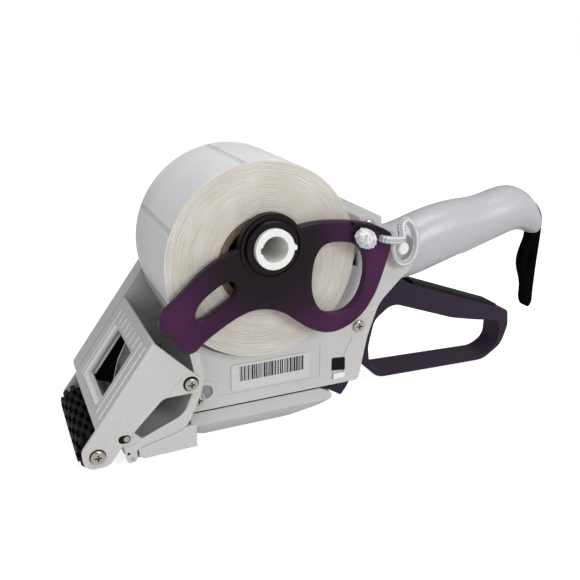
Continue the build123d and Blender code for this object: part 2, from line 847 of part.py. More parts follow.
def make_nose_liner():
    """The black channel behind the window, hung from the underside of the front plate."""
    depth, thick = 15.0, 1.6
    low, high = window_low - 2, window_high + 7.5
    top = nose_skin + rest_gap / 3
    wide_near, wide_far = window_near - 5, window_far + 5
    liner = slab(outline(*on_nose_box(low, high, depth - thick, depth)), wide_near, wide_far)
    side = outline(on_nose(low - 3, top), on_nose(high, top), on_nose(high, depth), on_nose(low, depth))
    liner += slab(side, wide_near, wide_near + thick)
    liner += slab(side, wide_far - thick, wide_far)
    return liner + slab(outline(*on_nose_box(high - thick, high, top, depth)), wide_near, wide_far)


def make_hold_down_leaf():
    fixed_end = window_high + 5.4
    points = [on_nose(fixed_end, 5.0), on_nose(36.0, 5.0), on_nose(24.0, 7.0), on_nose(12.0, 11.6)]
    return slab(band(points, [4, 10], 0, 0.8), -7.0, 9.0)


def make_roller_axle():
    bar = rod(axle, axle_radius, -cheek_outer, cheek_outer)
    for side in (-1, 1):
        low, high = sorted((side * cheek_outer, side * (cheek_outer - axle_thread_depth)))
        bar -= rod(axle, axle_thread, low, high)
    return bar


def make_axle_screws():
    heads = [
        screw(axle, side * cheek_outer, axle_thread_depth, side=side, head=3.6, shank=axle_thread)
        for side in (-1, 1)
    ]
    return group(heads)


def make_press_tube():
    return tube(axle, press_hub, axle_radius + running, -half + 0.4, half - 0.4)


def make_press_discs():
    discs = []
    pitch = (label_width - 2) / press_discs
    for i in range(press_discs):
        low = -half + 1 + i * pitch
        turn = (i % 2) * 180 / press_teeth
        wheel = Circle(press_radius) - Circle(press_hub)
        for k in range(press_teeth):
            groove = Pos(press_radius, 0) * Rectangle(2 * press_groove, press_groove)
            wheel -= Rot(0, 0, turn + 360 * k / press_teeth) * groove
        discs.append(slab(Pos(*axle) * wheel, low + 0.2, low + pitch - 0.2))
    return group(discs)


def make_nose_screw():
    return screw(nose_pivot, -cheek_outer - 0.1, cheek_outer + 0.1 - rib_inner)


def make_nose_pin():
    return rod(nose_pivot, screw_shank, rib_inner, far_face + skin)


# ---------------------------------------------------------------- feed


def make_feed_shaft():
    return rod(feed_axis, feed_shaft, near_face + shaft_recess, inner_layer + gear_width + 1.0)


def make_shaft_bushes():
    bush_face = near_face + shaft_recess - 0.4
    near = tube(feed_axis, feed_shaft + 1.0, feed_shaft + running, bush_face, inner_near + 1.0)
    far = tube(feed_axis, feed_shaft + 1.5, feed_shaft + running, far_face - 2, far_face + skin)
    return group([near, far])


def make_feed_roller():
    return tube(feed_axis, feed_radius, feed_shaft, inner_near + 1.2, half)


def make_gear_studs():
    stud_end = outer_layer + gear_width + 0.5
    return group([rod(axis, stud_radius, far_face, stud_end) for axis in (cluster_axis, idler_axis)])


def make_pinch_roller():
    return tube(pinch_axis, pinch_radius, pinch_shaft, inner_near + 3, half - 4)


def make_pinch_shaft():
    return rod(pinch_axis, pinch_shaft, inner_near + 0.6, half - 1.2)


# ---------------------------------------------------------------- lever


lever_top = aft([(30.5, 65.4), (103.4, 38.0)])


def lever_loop():
    """The trigger's closed loop, seen from the side: thick above, a thin bar below and behind."""
    outer = outline(
        *aft([(-6.0, 44.0, 6), (0.2, 19.6, 8), (10.5, 8.9, 12)]),
        *aft([(88.0, 6.6, 16), (100.6, 15.0, 12), (104.8, 27.0, 12)]),
        (*lever_top[1], 4.5),
        (*lever_top[0], 3),
        *aft([(23.0, 68.0, 3), (8.0, 60.0, 12)]),
    )
    upper = aft([(98.4, 31.6, 6), (78.0, 35.4, 30), (61.0, 39.4, 40), (18.5, 55.0, 10), (7.0, 46.5, 10)])
    inner = outline(*aft([(3.4, 30.0, 16), (5.4, 13.4, 9), (88.5, 10.0, 14), (98.2, 15.4, 9)]), *upper)
    return outer, inner


def make_trigger_lever():
    outer, inner = lever_loop()
    arm = outline(*aft([(-13.0, 43.0), (-4.0, 40.0), (10.0, 61.0), (-10.0, 60.2)]))
    hub = disc(lever_pivot, 8.6)
    face = outer + arm + hub - inner
    lever = slab(face, -lever_width / 2, lever_width / 2)
    lever -= rod(lever_pivot, lever_shaft_radius, -lever_width, lever_width)
    return lever


def make_lever_pad():
    way = unit(*lever_top)
    ends = [(lever_top[0][0] + t * way[0], lever_top[0][1] + t * way[1]) for t in (1.5, 68.0)]
    pad = band(ends, [], 0.0, pad_thick)
    return slab(pad, -lever_width / 2 + 1, lever_width / 2 - 1)


def make_lever_shaft():
    return rod(lever_pivot, lever_shaft_radius, inner_near + 0.3, outer_layer + gear_width + 1.0)


def make_return_spring():
    """A torsion spring round the lever's shaft, with one leg on the lever and one on the deck."""
    wire, coil_radius, turns = 0.6, 4.4, 4
    pitch = 2 * wire + 0.5
    spine = Helix(pitch, pitch * turns, coil_radius)
    section = Plane(origin=spine @ 0, z_dir=spine % 0) * RegularPolygon(wire, 8)
    coil = sweep(section, path=spine)
    return Pos(lever_pivot[0], lever_width / 2 + 3, lever_pivot[1]) * Rot(-90, 0, 0) * coil


# ---------------------------------------------------------------- bottom cover and latch


def tail_line():
    """The seam between the bottom cover's rear end and the latch."""
    return (latch_pivot[0] - 11.6, base_line - 0.4), (latch_pivot[0], 11.4)


def make_bottom_cover():
    top = base_line - 0.4
    tail_top, tail_tip = tail_line()
    tip_x = tail_tip[0]
    # rear pan: a keel that narrows to the flat underside
    side = outline(
        (-38.0, top),
        tail_top,
        (*tail_tip, 2.5),
        (tip_x - 8.0, 5.0, 14),
        (tip_x - 26.0, cover_low, 12),
        (-30.0, cover_low, 8),
        (-38.0, 5.0),
    )
    pan = slab(side, cover_near, cover_far)
    floor_near, floor_far = cover_near + cover_chine, cover_far - cover_chine
    keel = outline_yz(
        (cover_near, 30),
        (cover_near, 9.0),
        (floor_near, cover_low - 0.001),
        (floor_far, cover_low - 0.001),
        (cover_far, 9.0),
        (cover_far, 30),
    )
    pan &= extrude(Pos(-60, 0, 0) * (Plane.YZ * keel), 2 * beyond, dir=(1, 0, 0))
    hollow = outline(
        (-36.0, top + 5),
        (tip_x - 14.0, top + 5),
        (tip_x - 9.0, 11.0, 3),
        (tip_x - 26.0, 3.2, 8),
        (-28.0, 3.2, 4),
        (-36.0, 6.0),
    )
    upper = outline((-60, 9.6), (tip_x, 9.6), (tip_x, 40), (-60, 40))
    pan -= slab(hollow, floor_near, floor_far)
    pan -= slab(hollow & upper, cover_near + cover_skin, cover_far - cover_skin)
    # nose: two cheeks and a thin sole that follow the underside of the label bed
    cheek = outline((-38.0, 4.9), (-38.0, 30), (-70.0, 30), (-67.4, 5.0, 2)) - ahead_of_bed()
    cheek &= outline((-80, 0), (-36, 0), (-36, top - 1.2), (-80, top - 1.2))
    hinge_x = cover_hinge[0]
    sole = outline((hinge_x, 4.0), (hinge_x, 5.6), (-37.9, 6.2), (-37.9, 4.4))
    cover = pan + slab(cheek, -rib_outer, -rib_inner - 0.2) + slab(cheek, rib_inner + 0.2, rib_outer)
    cover += slab(sole, -rib_outer + 2, rib_outer - 2)
    cover += rod(cover_hinge, cover_knuckle, -half + 0.2, half - 0.2)
    cover += slab(sole & outline((-66, 0), (-30, 0), (-30, 20), (-66, 20)), -rib_outer, rib_outer)
    web_back = outline((-40.0, 4.6), (-38.0, 4.6), (-38.0, 12.0), (-40.0, 9.0))
    cover += slab(web_back, -rib_outer, rib_outer)
    cover -= rod(cover_hinge, cover_hinge_radius + running, -rib_outer, rib_outer)
    cover -= rod(pinch_axis, pinch_shaft + running, inner_near + 0.5, half - 1.1)
    cover -= rod(pinch_axis, pinch_radius + 0.8, inner_near + 2.6, half - 3.6)
    return cover


def make_cover_hinge_pin():
    return rod(cover_hinge, cover_hinge_radius, -rib_outer, rib_outer)


def make_cover_latch():
    tail_top, tail_tip = tail_line()
    x, z = latch_pivot
    low = ear_near + ear_thick + ear_gap
    high = low + latch_width
    button_low, button_high = inner_near + 0.5, ear_near - ear_gap
    wedge = outline(
        (tail_top[0] + 2.2, base_line - 0.7),
        (x + 10.0, base_line - 0.7, 1),
        (x + 7.6, 13.4, 2),
        (tail_tip[0] + 4.4, 9.0, 1.5),
        (tail_tip[0] + 1.6, tail_tip[1] - 0.4, 0.6),
    )
    leg = outline((x - 2.5, 16), (x + 4.5, 16), (x + 4.5, z), (x - 3.0, z))
    head = moved_by(latch_pivot, [(5.6, -4, 1), (5.6, 4, 2), (-3.6, 4, 2), (-3.6, -4, 1)])
    button = outline((x - 2.5, 16), (x + 4.5, 16), *head)
    latch = slab(wedge, button_low, high)
    latch += slab(leg + disc(latch_pivot, 3.4), low, high)
    latch += slab(button, button_low, button_high)
    return latch - rod(latch_pivot, latch_pin_radius + running, low - 0.2, high + 1)


def make_latch_pin():
    return rod(latch_pivot, latch_pin_radius, ear_near, ear_low + ear_thick)


# ---------------------------------------------------------------- cord, knot, post and strap

post = (column_back + 11.4, 94.4)
cord_y = near_face - 4.0
guide_front = -half - guide_gap - guide_thick
cord_out = guide_front - cord_radius - 0.8
cord_route = [
    (cord_eye[0], guide_front + 3.2, cord_eye[1]),
    (cord_eye[0], cord_out, cord_eye[1]),
    (cord_eye[0] + 9.4, cord_out, cord_eye[1] - 1.6),
    (post[0] - 4.0, cord_y - 6.5, post[1] + 7.6),
    (post[0] - 2.6, cord_y - 1.0, post[1] + 13.4),
    (post[0] + 2.0, cord_y, post[1] + 16.2),
    (post[0] + 6.6, cord_y, post[1] + 11.0),
    (post[0] + 9.0, cord_y, post[1] + 2.0),
    (post[0] + 6.6, cord_y, post[1] - 7.0),
    (post[0] + 0.4, cord_y, post[1] - 9.4),
    (post[0] - 5.4, cord_y, post[1] - 5.0),
    (post[0] - 6.2, cord_y, post[1] + 2.5),
]


def tube_along(points, radius):
    corners = []
    for a, b, c in zip(points, points[1:], points[2:]):
        before, after = Vector(b) - Vector(a), Vector(c) - Vector(b)
        turn = before.get_angle(after)
        corners.append(0.45 * min(before.length, after.length) / tan(radians(turn / 2)))
    path = FilletPolyline(*points, radius=corners)
    section = Plane(origin=path @ 0, z_dir=path % 0) * Circle(radius)
    return sweep(section, path=path)


def make_guide_cord():
    return tube_along(cord_route, cord_radius)


def make_cord_knot():
    x, z = spindle_x + 48.6, spindle_z - 0.7
    lump = scale(Sphere(1), (6.9, 3.6, 5.2))
    return Pos(x, guide_front - 3.5, z) * Rot(0, 38, 0) * lump


def make_cord_post():
    post_body = rod(post, 3.4, near_face - 6.0, near_face)
    return fillet(post_body.edges().group_by(Axis.Y)[0], 1.2)


# the folded and sewn strap seen from the side, from the back of the column
strap_edge = [
    (110.6, 106.6),
    (117.4, 106.0),
    (122.4, 102.0),
    (126.4, 94.9),
    (127.1, 86.3),
    (126.8, 74.0),
    (126.4, 64.2),
    (126.3, 52.6),
    (126.4, 42.4),
    (125.6, 36.6),
    (123.7, 35.2),
    (121.5, 37.2),
    (119.7, 48.2),
    (118.9, 52.6),
    (115.2, 63.6),
    (115.0, 68.7),
    (117.2, 77.2),
    (118.8, 84.0),
    (119.4, 88.6),
    (122.6, 89.4),
    (123.8, 94.0),
    (120.6, 99.8),
    (116.6, 103.0),
    (111.0, 104.0),
]
strap_gap = [
    (121.4, 73.8),
    (122.4, 70.7),
    (122.2, 64.7),
    (121.5, 61.2),
    (120.7, 59.3),
    (119.3, 63.5),
    (119.2, 67.7),
    (120.1, 71.2),
]


def make_wrist_strap():
    side = smooth(aft(strap_edge)) - smooth(aft(strap_gap))
    return slab(side, -strap_width / 2, strap_width / 2) - make_handle()


pieces = {
    "main_frame": make_main_frame,
    "side_cover": make_side_cover,
    "gear_cover": make_gear_cover,
    "gear_cover_screws": make_lid_screws,
    "cover_screws": make_cover_screws,
    "bed_screw": make_bed_screw,
    "handle_grip": make_handle,
    "label_bed": make_label_bed,
    "peel_bar": lambda: rod(peel_axis, peel_radius, -peel_reach, peel_reach),
    "guide_bar": lambda: rod(guide_bar, guide_bar_radius, -cheek_outer, cheek_outer),
    "label_web": make_label_web,
    "label_roll": make_label_roll,
    "label_core": make_label_core,
    "spindle_tube": make_spindle_tube,
    "spindle_flange": make_spindle_flange,
    "roll_guide": make_roll_guide,
    "nose_cover": make_nose_cover,
    "nose_liner": make_nose_liner,
    "hold_down_leaf": make_hold_down_leaf,
    "roller_axle": make_roller_axle,
    "axle_screws": make_axle_screws,
    "press_tube": make_press_tube,
    "press_discs": make_press_discs,
    "nose_pivot_screw": make_nose_screw,
    "nose_pivot_pin": make_nose_pin,
    "feed_shaft": make_feed_shaft,
    "feed_roller": make_feed_roller,
    "feed_pinion": lambda: spur(feed_axis, pinion_teeth, pinion_phase, feed_shaft, inner_layer),
    "shaft_bushes": make_shaft_bushes,
    "idler_gear": lambda: spur(idler_axis, idler_teeth, idler_phase, stud_radius + running, inner_layer),
    "idler_cluster": make_idler_cluster,
    "gear_studs": make_gear_studs,
    "sector_gear": make_sector_gear,
    "pinch_roller": make_pinch_roller,
    "pinch_shaft": make_pinch_shaft,
    "trigger_lever": make_trigger_lever,
    "lever_pad": make_lever_pad,
    "lever_shaft": make_lever_shaft,
    "return_spring": make_return_spring,
    "bottom_cover": make_bottom_cover,
    "cover_hinge_pin": make_cover_hinge_pin,
    "cover_latch": make_cover_latch,
    "latch_pin": make_latch_pin,
    "guide_cord": make_guide_cord,
    "cord_knot": make_cord_knot,
    "cord_post": make_cord_post,
    "wrist_strap": make_wrist_strap,
}

os.makedirs("parts", exist_ok=True)
for name, make in pieces.items():
    shape = make()
    print(name, len(shape.solids()), round(shape.volume))
    export_step(shape, f"parts/{name}.step")
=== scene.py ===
# A hand-held label applicator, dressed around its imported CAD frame.
import math
import random

import bpy
import bmesh
from mathutils import Matrix, Vector, noise


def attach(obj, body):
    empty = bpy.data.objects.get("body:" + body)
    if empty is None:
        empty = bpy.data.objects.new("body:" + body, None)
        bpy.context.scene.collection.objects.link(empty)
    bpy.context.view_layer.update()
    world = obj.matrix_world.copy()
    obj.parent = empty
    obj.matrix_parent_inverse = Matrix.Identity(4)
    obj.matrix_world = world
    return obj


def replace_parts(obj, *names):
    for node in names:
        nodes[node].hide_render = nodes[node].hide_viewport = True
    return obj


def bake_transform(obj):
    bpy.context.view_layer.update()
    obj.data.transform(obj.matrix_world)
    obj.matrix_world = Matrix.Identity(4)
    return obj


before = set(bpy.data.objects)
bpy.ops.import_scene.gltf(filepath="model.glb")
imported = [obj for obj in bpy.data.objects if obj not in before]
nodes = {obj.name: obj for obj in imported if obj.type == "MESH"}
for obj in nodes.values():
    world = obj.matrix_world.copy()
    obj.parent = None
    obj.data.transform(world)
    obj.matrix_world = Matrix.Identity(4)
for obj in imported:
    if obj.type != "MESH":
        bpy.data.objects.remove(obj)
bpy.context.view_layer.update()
mm = 0.001
print("frame loaded with", len(nodes), "nodes")


# small helpers for colours and shader nodes

def hexToLinear(text):
    # sRGB hex to the linear colour that Blender's sockets take
    parts = [int(text[i:i + 2], 16) / 255 for i in (0, 2, 4)]
    return [c / 12.92 if c <= 0.04045 else ((c + 0.055) / 1.055) ** 2.4 for c in parts] + [1.0]


def darker(text, share):
    return "".join("%02X" % int(int(text[i:i + 2], 16) * share) for i in (0, 2, 4))


def setInputs(tree, node, inputs):
    # an output of another node is linked, and anything else is set on the socket itself
    for socket, value in inputs.items():
        if isinstance(value, bpy.types.NodeSocket):
            tree.links.new(value, node.inputs[socket])
        else:
            node.inputs[socket].default_value = value


def addNode(tree, kind, inputs=None, **settings):
    node = tree.nodes.new(kind)
    for name, value in settings.items():
        setattr(node, name, value)
    setInputs(tree, node, inputs or {})
    return node


def perMetre(millimetres):
    # a texture scale whose pattern repeats about once in that many millimetres
    return 1000.0 / millimetres


def newMaterial(name):
    material = bpy.data.materials.new(name)
    material.use_nodes = True
    tree = material.node_tree
    tree.nodes.clear()
    shader = addNode(tree, "ShaderNodeBsdfPrincipled")
    addNode(tree, "ShaderNodeOutputMaterial", {"Surface": shader.outputs[0]})
    place = addNode(tree, "ShaderNodeTexCoord").outputs["Object"]
    return material, tree, shader, place


def mixedColour(tree, amount, low, high):
    # amount 0 gives low and 1 gives high; each is a hex colour or another node's output
    colours = [c if isinstance(c, bpy.types.NodeSocket) else hexToLinear(c) for c in (low, high)]
    mix = addNode(tree, "ShaderNodeMix", data_type="RGBA")
    setInputs(tree, mix, {0: amount, 6: colours[0], 7: colours[1]})
    return mix.outputs[2]


def spreadTo(tree, value, low, high, fromLow=0.3, fromHigh=0.7):
    # noise mostly lies between 0.3 and 0.7, so that range is stretched to the one wanted
    span = {"Value": value, "From Min": fromLow, "From Max": fromHigh, "To Min": low, "To Max": high}
    return addNode(tree, "ShaderNodeMapRange", span).outputs[0]


# plastics

shellAbs = {
    "colour": "C4C3C2", "shade": "BEBDBC", "roughness": 0.28, "waver": 0.012,
    "mouldWaveMm": 24.0, "grainMm": 0.9, "pebble": 0.06, "ior": 1.53,
}


def makeShellAbs():
    # glossy injection-moulded ABS: an even light grey with a fine speckle, and a shine that wavers a little
    look = shellAbs
    material, tree, shader, place = newMaterial("mouldedGreyAbs")
    wave = addNode(tree, "ShaderNodeTexNoise", {
        "Vector": place, "Scale": perMetre(look["mouldWaveMm"]), "Detail": 2.0}).outputs[0]
    # the real grain is finer, about 0.05 mm, and is drawn coarser so that it shows at all
    grain = addNode(tree, "ShaderNodeTexNoise", {
        "Vector": place, "Scale": perMetre(look["grainMm"]), "Detail": 3.0}).outputs[0]
    bump = addNode(tree, "ShaderNodeBump", {
        "Height": grain, "Strength": look["pebble"], "Distance": 0.1 * mm})
    low, high = look["roughness"] - look["waver"], look["roughness"] + look["waver"]
    setInputs(tree, shader, {
        "Base Color": mixedColour(tree, spreadTo(tree, grain, 0, 1), look["shade"], look["colour"]),
        "Roughness": spreadTo(tree, wave, low, high, 0.2, 0.8),
        "Normal": bump.outputs[0], "IOR": look["ior"]})
    return material


plumAbs = {
    "colour": "441A42", "shade": "381537", "roughness": 0.34, "sparkMm": 0.5, "cloudMm": 16.0, "shine": 0.16,
    # thick: the colour of the painted shade round the hub and on the lip
    "thick": "120810", "hubXmm": 1.0, "hubZmm": 106.0, "fadeMm": (22, 56), "lipXmm": 38.0, "lipYmm": -38.1,
    "lipFadeMm": (4.0, 0.4),
}
leverAbs = {
    "colour": "2C1D33", "shade": "25182B", "roughness": 0.42, "sparkMm": 0.5, "cloudMm": 20.0, "shine": 0.2,
}
dustFlecks = {"colour": "8C7A90", "apartMm": 4.0, "weight": 0.35, "radii": (0.02, 0.05)}


def paintedShadePlaces(tree, place, look):
    # 1 round the hub and on the lip that stands out beyond the plate's face, 0 at the thin ends: the places
    # of painted shade
    fromHub = (-look["hubXmm"] * mm, 0, -look["hubZmm"] * mm)
    hub = addNode(tree, "ShaderNodeVectorMath", {0: place, 1: fromHub}, operation="ADD").outputs[0]
    flat = addNode(tree, "ShaderNodeVectorMath", {0: hub, 1: (1, 0, 1)}, operation="MULTIPLY").outputs[0]
    away = addNode(tree, "ShaderNodeVectorMath", {0: flat}, operation="LENGTH").outputs["Value"]
    near, far = [reach * mm for reach in look["fadeMm"]]
    parts = addNode(tree, "ShaderNodeSeparateXYZ", {0: place})
    x, y = look["lipXmm"] * mm, look["lipYmm"] * mm
    fadeX, fadeY = [fade * mm for fade in look["lipFadeMm"]]
    beyond = spreadTo(tree, parts.outputs["X"], 0.0, 1.0, x, x + fadeX)
    proud = spreadTo(tree, parts.outputs["Y"], 1.0, 0.0, y - fadeY, y)
    lip = addNode(tree, "ShaderNodeMath", {0: beyond, 1: proud}, operation="MULTIPLY").outputs[0]
    return spreadTo(tree, away, 1.0, 0.0, near, far), lip


def makeTintedAbs(name, look):
    # spark-textured ABS: the mould's fine pits break up the shine into a soft sheen
    material, tree, shader, place = newMaterial(name)
    cloud = addNode(tree, "ShaderNodeTexNoise", {
        "Vector": place, "Scale": perMetre(look["cloudMm"]), "Detail": 3.0}).outputs[0]
    pits = addNode(tree, "ShaderNodeTexNoise", {
        "Vector": place, "Scale": perMetre(look["sparkMm"]), "Detail": 2.0}).outputs[0]
    colour = mixedColour(tree, spreadTo(tree, cloud, 0, 1), look["shade"], look["colour"])
    if "thick" in look:
        # painted shade: the plate is darkened to nearly black round the hub and on its lip, and left purple
        # at the thin ends
        for amount in paintedShadePlaces(tree, place, look):
            colour = mixedColour(tree, amount, colour, look["thick"])
    # dust and rubbed spots: a few pale flecks some 4 mm apart
    fleck = addNode(tree, "ShaderNodeTexVoronoi", {
        "Vector": place, "Scale": perMetre(dustFlecks["apartMm"]), "Randomness": 1.0}).outputs["Distance"]
    dust = spreadTo(tree, fleck, dustFlecks["weight"], 0.0, *dustFlecks["radii"])
    bump = addNode(tree, "ShaderNodeBump", {"Height": pits, "Strength": 0.12, "Distance": 0.1 * mm})
    setInputs(tree, shader, {
        "Base Color": mixedColour(tree, dust, colour, dustFlecks["colour"]),
        "Roughness": spreadTo(tree, cloud, look["roughness"] - 0.05, look["roughness"] + 0.06),
        "Normal": bump.outputs[0], "IOR": 1.53, "Specular IOR Level": look["shine"]})
    return material


plainPlastics = {
    # name: (colour, roughness, grain in mm, bump strength, IOR)
    # the gripped part: a fine pebbled gloss
    "orangePeelGreyAbs": ("B4B5B8", 0.26, 0.6, 0.13, 1.5),
    # the inside of the boss, where little light falls
    "shadedGreyAbs": ("8C8E92", 0.4, 1.2, 0.05, 1.5),
    # sticker stock: duller than the shell and close to its colour
    "clearCoatedLabel": ("CDCDCC", 0.42, 0.9, 0.06, 1.5),
    # spindle, post and press tube: brighter and cleaner than the shell; the same white is painted highlight
    # on the nose's ridges, the window's sill, the leaf's edge and the latch's scoop
    "mouldedWhiteAbsAndHighlight": ("E6E6E3", 0.32, 1.2, 0.05, 1.5),
    # gears: milky and waxy
    "naturalAcetal": ("E9E5D8", 0.38, 1.5, 0.05, 1.48),
    # the channel behind the window: swallows the light; the same black is painted shade in gaps, holes and
    # the latch's window
    "matteBlackAbsAndShade": ("050505", 0.7, 0.5, 0.2, 1.3),
    # thermal print: flat black, a little duller than the paper
    "printedInk": ("0A0A0A", 0.5, 0.4, 0.05, 1.5),
}


def makePlainPlastic(name, colour, roughness, grainMm, strength, ior):
    material, tree, shader, place = newMaterial(name)
    grain = addNode(tree, "ShaderNodeTexNoise", {
        "Vector": place, "Scale": perMetre(grainMm), "Detail": 3.0}).outputs[0]
    bump = addNode(tree, "ShaderNodeBump", {"Height": grain, "Strength": strength, "Distance": 0.1 * mm})
    setInputs(tree, shader, {
        "Base Color": mixedColour(tree, spreadTo(tree, grain, 0, 1), darker(colour, 0.96), colour),
        "Roughness": spreadTo(tree, grain, roughness - 0.05, roughness + 0.05),
        "Normal": bump.outputs[0], "IOR": ior})
    return material


smokedPlastic = {"colour": "5E5D5B", "roughness": (0.14, 0.34), "scratchMm": 2.5}


def makeSmokedPlastic():
    # thin smoked polycarbonate over a black channel: a dark grey gloss, milky from its fine scratches
    material, tree, shader, place = newMaterial("smokedPolycarbonate")
    scratch = addNode(tree, "ShaderNodeTexNoise", {
        "Vector": place, "Scale": perMetre(smokedPlastic["scratchMm"]), "Detail": 4.0}).outputs[0]
    setInputs(tree, shader, {
        "Base Color": hexToLinear(smokedPlastic["colour"]),
        "Roughness": spreadTo(tree, scratch, *smokedPlastic["roughness"]), "IOR": 1.58})
    return material


# metal, rubber, paper and thread

nickelSteel = {
    "colour": "B9B3A8", "paintedHollowShade": "141210", "roughness": (0.12, 0.32), "scratchMm": 0.35, "shadeReachMm": 1.8,
}


def makeNickelSteel():
    # nickel-plated steel: a warm grey mirror, broken by fine scratches, with painted shade in its hollows
    look = nickelSteel
    material, tree, shader, place = newMaterial("nickelPlatedSteel")
    scratch = addNode(tree, "ShaderNodeTexNoise", {
        "Vector": place, "Scale": perMetre(look["scratchMm"]), "Detail": 4.0}).outputs[0]
    # painted shade: ambient occlusion darkens the hollows towards near-black
    hollow = addNode(tree, "ShaderNodeAmbientOcclusion", {"Distance": look["shadeReachMm"] * mm}, samples=8)
    unshaded = spreadTo(tree, hollow.outputs["AO"], 0.0, 1.0, 0.4, 0.9)
    bump = addNode(tree, "ShaderNodeBump", {"Height": scratch, "Strength": 0.05, "Distance": 0.05 * mm})
    setInputs(tree, shader, {
        "Base Color": mixedColour(tree, unshaded, look["paintedHollowShade"], look["colour"]), "Metallic": 1.0,
        "Roughness": spreadTo(tree, scratch, *look["roughness"]), "Normal": bump.outputs[0]})
    return material


blackRubber = {"colours": ("040404", "090909"), "roughness": (0.52, 0.72), "bloomMm": 6.0, "grainMm": 0.4}


def makeRubber():
    # moulded black rubber: dull, with a greyish bloom on what has been handled
    look = blackRubber
    material, tree, shader, place = newMaterial("mouldedBlackRubber")
    bloom = addNode(tree, "ShaderNodeTexNoise", {
        "Vector": place, "Scale": perMetre(look["bloomMm"]), "Detail": 5.0}).outputs[0]
    grain = addNode(tree, "ShaderNodeTexNoise", {
        "Vector": place, "Scale": perMetre(look["grainMm"]), "Detail": 2.0}).outputs[0]
    bump = addNode(tree, "ShaderNodeBump", {"Height": grain, "Strength": 0.25, "Distance": 0.1 * mm})
    setInputs(tree, shader, {
        "Base Color": mixedColour(tree, spreadTo(tree, bloom, 0, 1), *look["colours"]),
        "Roughness": spreadTo(tree, bloom, *look["roughness"]), "Normal": bump.outputs[0],
        "IOR": 1.52, "Specular IOR Level": 0.24})
    return material


labelPaper = {
    "face": "E4E5E7", "backing": "D3D4D5", "roughness": (0.37, 0.49), "fibreMm": 0.6, "shadeMm": 30.0,
}


def makeLabelFace(name, colour):
    # coated thermal paper: a smooth cool white with a weak silky shine
    look = labelPaper
    material, tree, shader, place = newMaterial(name)
    fibre = addNode(tree, "ShaderNodeTexNoise", {
        "Vector": place, "Scale": perMetre(look["fibreMm"]), "Detail": 4.0}).outputs[0]
    shade = addNode(tree, "ShaderNodeTexNoise", {
        "Vector": place, "Scale": perMetre(look["shadeMm"]), "Detail": 1.0}).outputs[0]
    bump = addNode(tree, "ShaderNodeBump", {"Height": fibre, "Strength": 0.05, "Distance": 0.1 * mm})
    setInputs(tree, shader, {
        "Base Color": mixedColour(tree, spreadTo(tree, shade, 0, 1), darker(colour, 0.965), colour),
        "Roughness": spreadTo(tree, fibre, *look["roughness"]), "Normal": bump.outputs[0]})
    return material


rollEdge = {"paper": "D5D1CA", "gap": "8E867B", "warm": "C6C0B4", "stainMm": 14.0, "fibreMm": 0.8}


def makeRollEdge():
    # the cut edges of wound labels and backing: dull cream, with painted shade in the grooves between turns
    look = rollEdge
    material, tree, shader, place = newMaterial("woundPaperEdges")
    groove = addNode(tree, "ShaderNodeAttribute", attribute_name="groove").outputs["Fac"]
    stain = addNode(tree, "ShaderNodeTexNoise", {
        "Vector": place, "Scale": perMetre(look["stainMm"]), "Detail": 3.0}).outputs[0]
    fibre = addNode(tree, "ShaderNodeTexNoise", {
        "Vector": place, "Scale": perMetre(look["fibreMm"]), "Detail": 4.0}).outputs[0]
    paper = mixedColour(tree, spreadTo(tree, stain, 0, 0.8), look["paper"], look["warm"])
    bump = addNode(tree, "ShaderNodeBump", {"Height": fibre, "Strength": 0.3, "Distance": 0.1 * mm})
    setInputs(tree, shader, {
        # painted shade: the groove attribute darkens the paper to the gap colour
        "Base Color": mixedColour(tree, groove, paper, look["gap"]), "Roughness": 0.86,
        "Normal": bump.outputs[0]})
    return material


greyBoard = {"fibres": ("5A4638", "93806C"), "ply": "6E5240", "fibreMm": 0.7, "plyMm": 3.0, "roughness": 0.9}


def makeCardboard():
    # spiral-wound grey board: brown, fibrous, with darker plies showing on the cut edge
    look = greyBoard
    material, tree, shader, place = newMaterial("spiralWoundCardboard")
    stretched = addNode(tree, "ShaderNodeMapping", {"Vector": place, "Scale": (1.0, 0.25, 1.0)}).outputs[0]
    fibre = addNode(tree, "ShaderNodeTexNoise", {
        "Vector": stretched, "Scale": perMetre(look["fibreMm"]), "Detail": 6.0}).outputs[0]
    ply = addNode(tree, "ShaderNodeTexNoise", {
        "Vector": place, "Scale": perMetre(look["plyMm"]), "Detail": 3.0}).outputs[0]
    fine = mixedColour(tree, spreadTo(tree, fibre, 0, 1), *look["fibres"])
    bump = addNode(tree, "ShaderNodeBump", {"Height": fibre, "Strength": 0.6, "Distance": 0.3 * mm})
    setInputs(tree, shader, {
        "Base Color": mixedColour(tree, spreadTo(tree, ply, 0, 0.5), fine, look["ply"]),
        "Roughness": look["roughness"], "Normal": bump.outputs[0]})
    return material


threads = {
    # name: (colour, shade, roughness, thread in mm, sheen, shine)
    "braidedPolyester": ("DEDEE0", "C4C4C7", 0.5, 0.22, 0.15, 0.5),
    # strands that cross the other way lie more in shadow
    "braidedPolyesterAcross": ("B9B9BD", "A0A0A4", 0.55, 0.22, 0.1, 0.5),
    # a singed knot: brighter, and patchy where the threads have run together
    "meltedPolyester": ("E9E9EB", "A2A2A7", 0.4, 1.7, 0.05, 0.5),
    # the core: a darker grey, as painted shade between the strands
    "polyesterCoreShade": ("6E6E71", "5A5A5D", 0.8, 0.22, 0.0, 0.5),
    # webbing that swallows nearly all the light
    "wovenBlackNylon": ("050505", "020202", 0.9, 0.3, 0.0, 0.04),
}


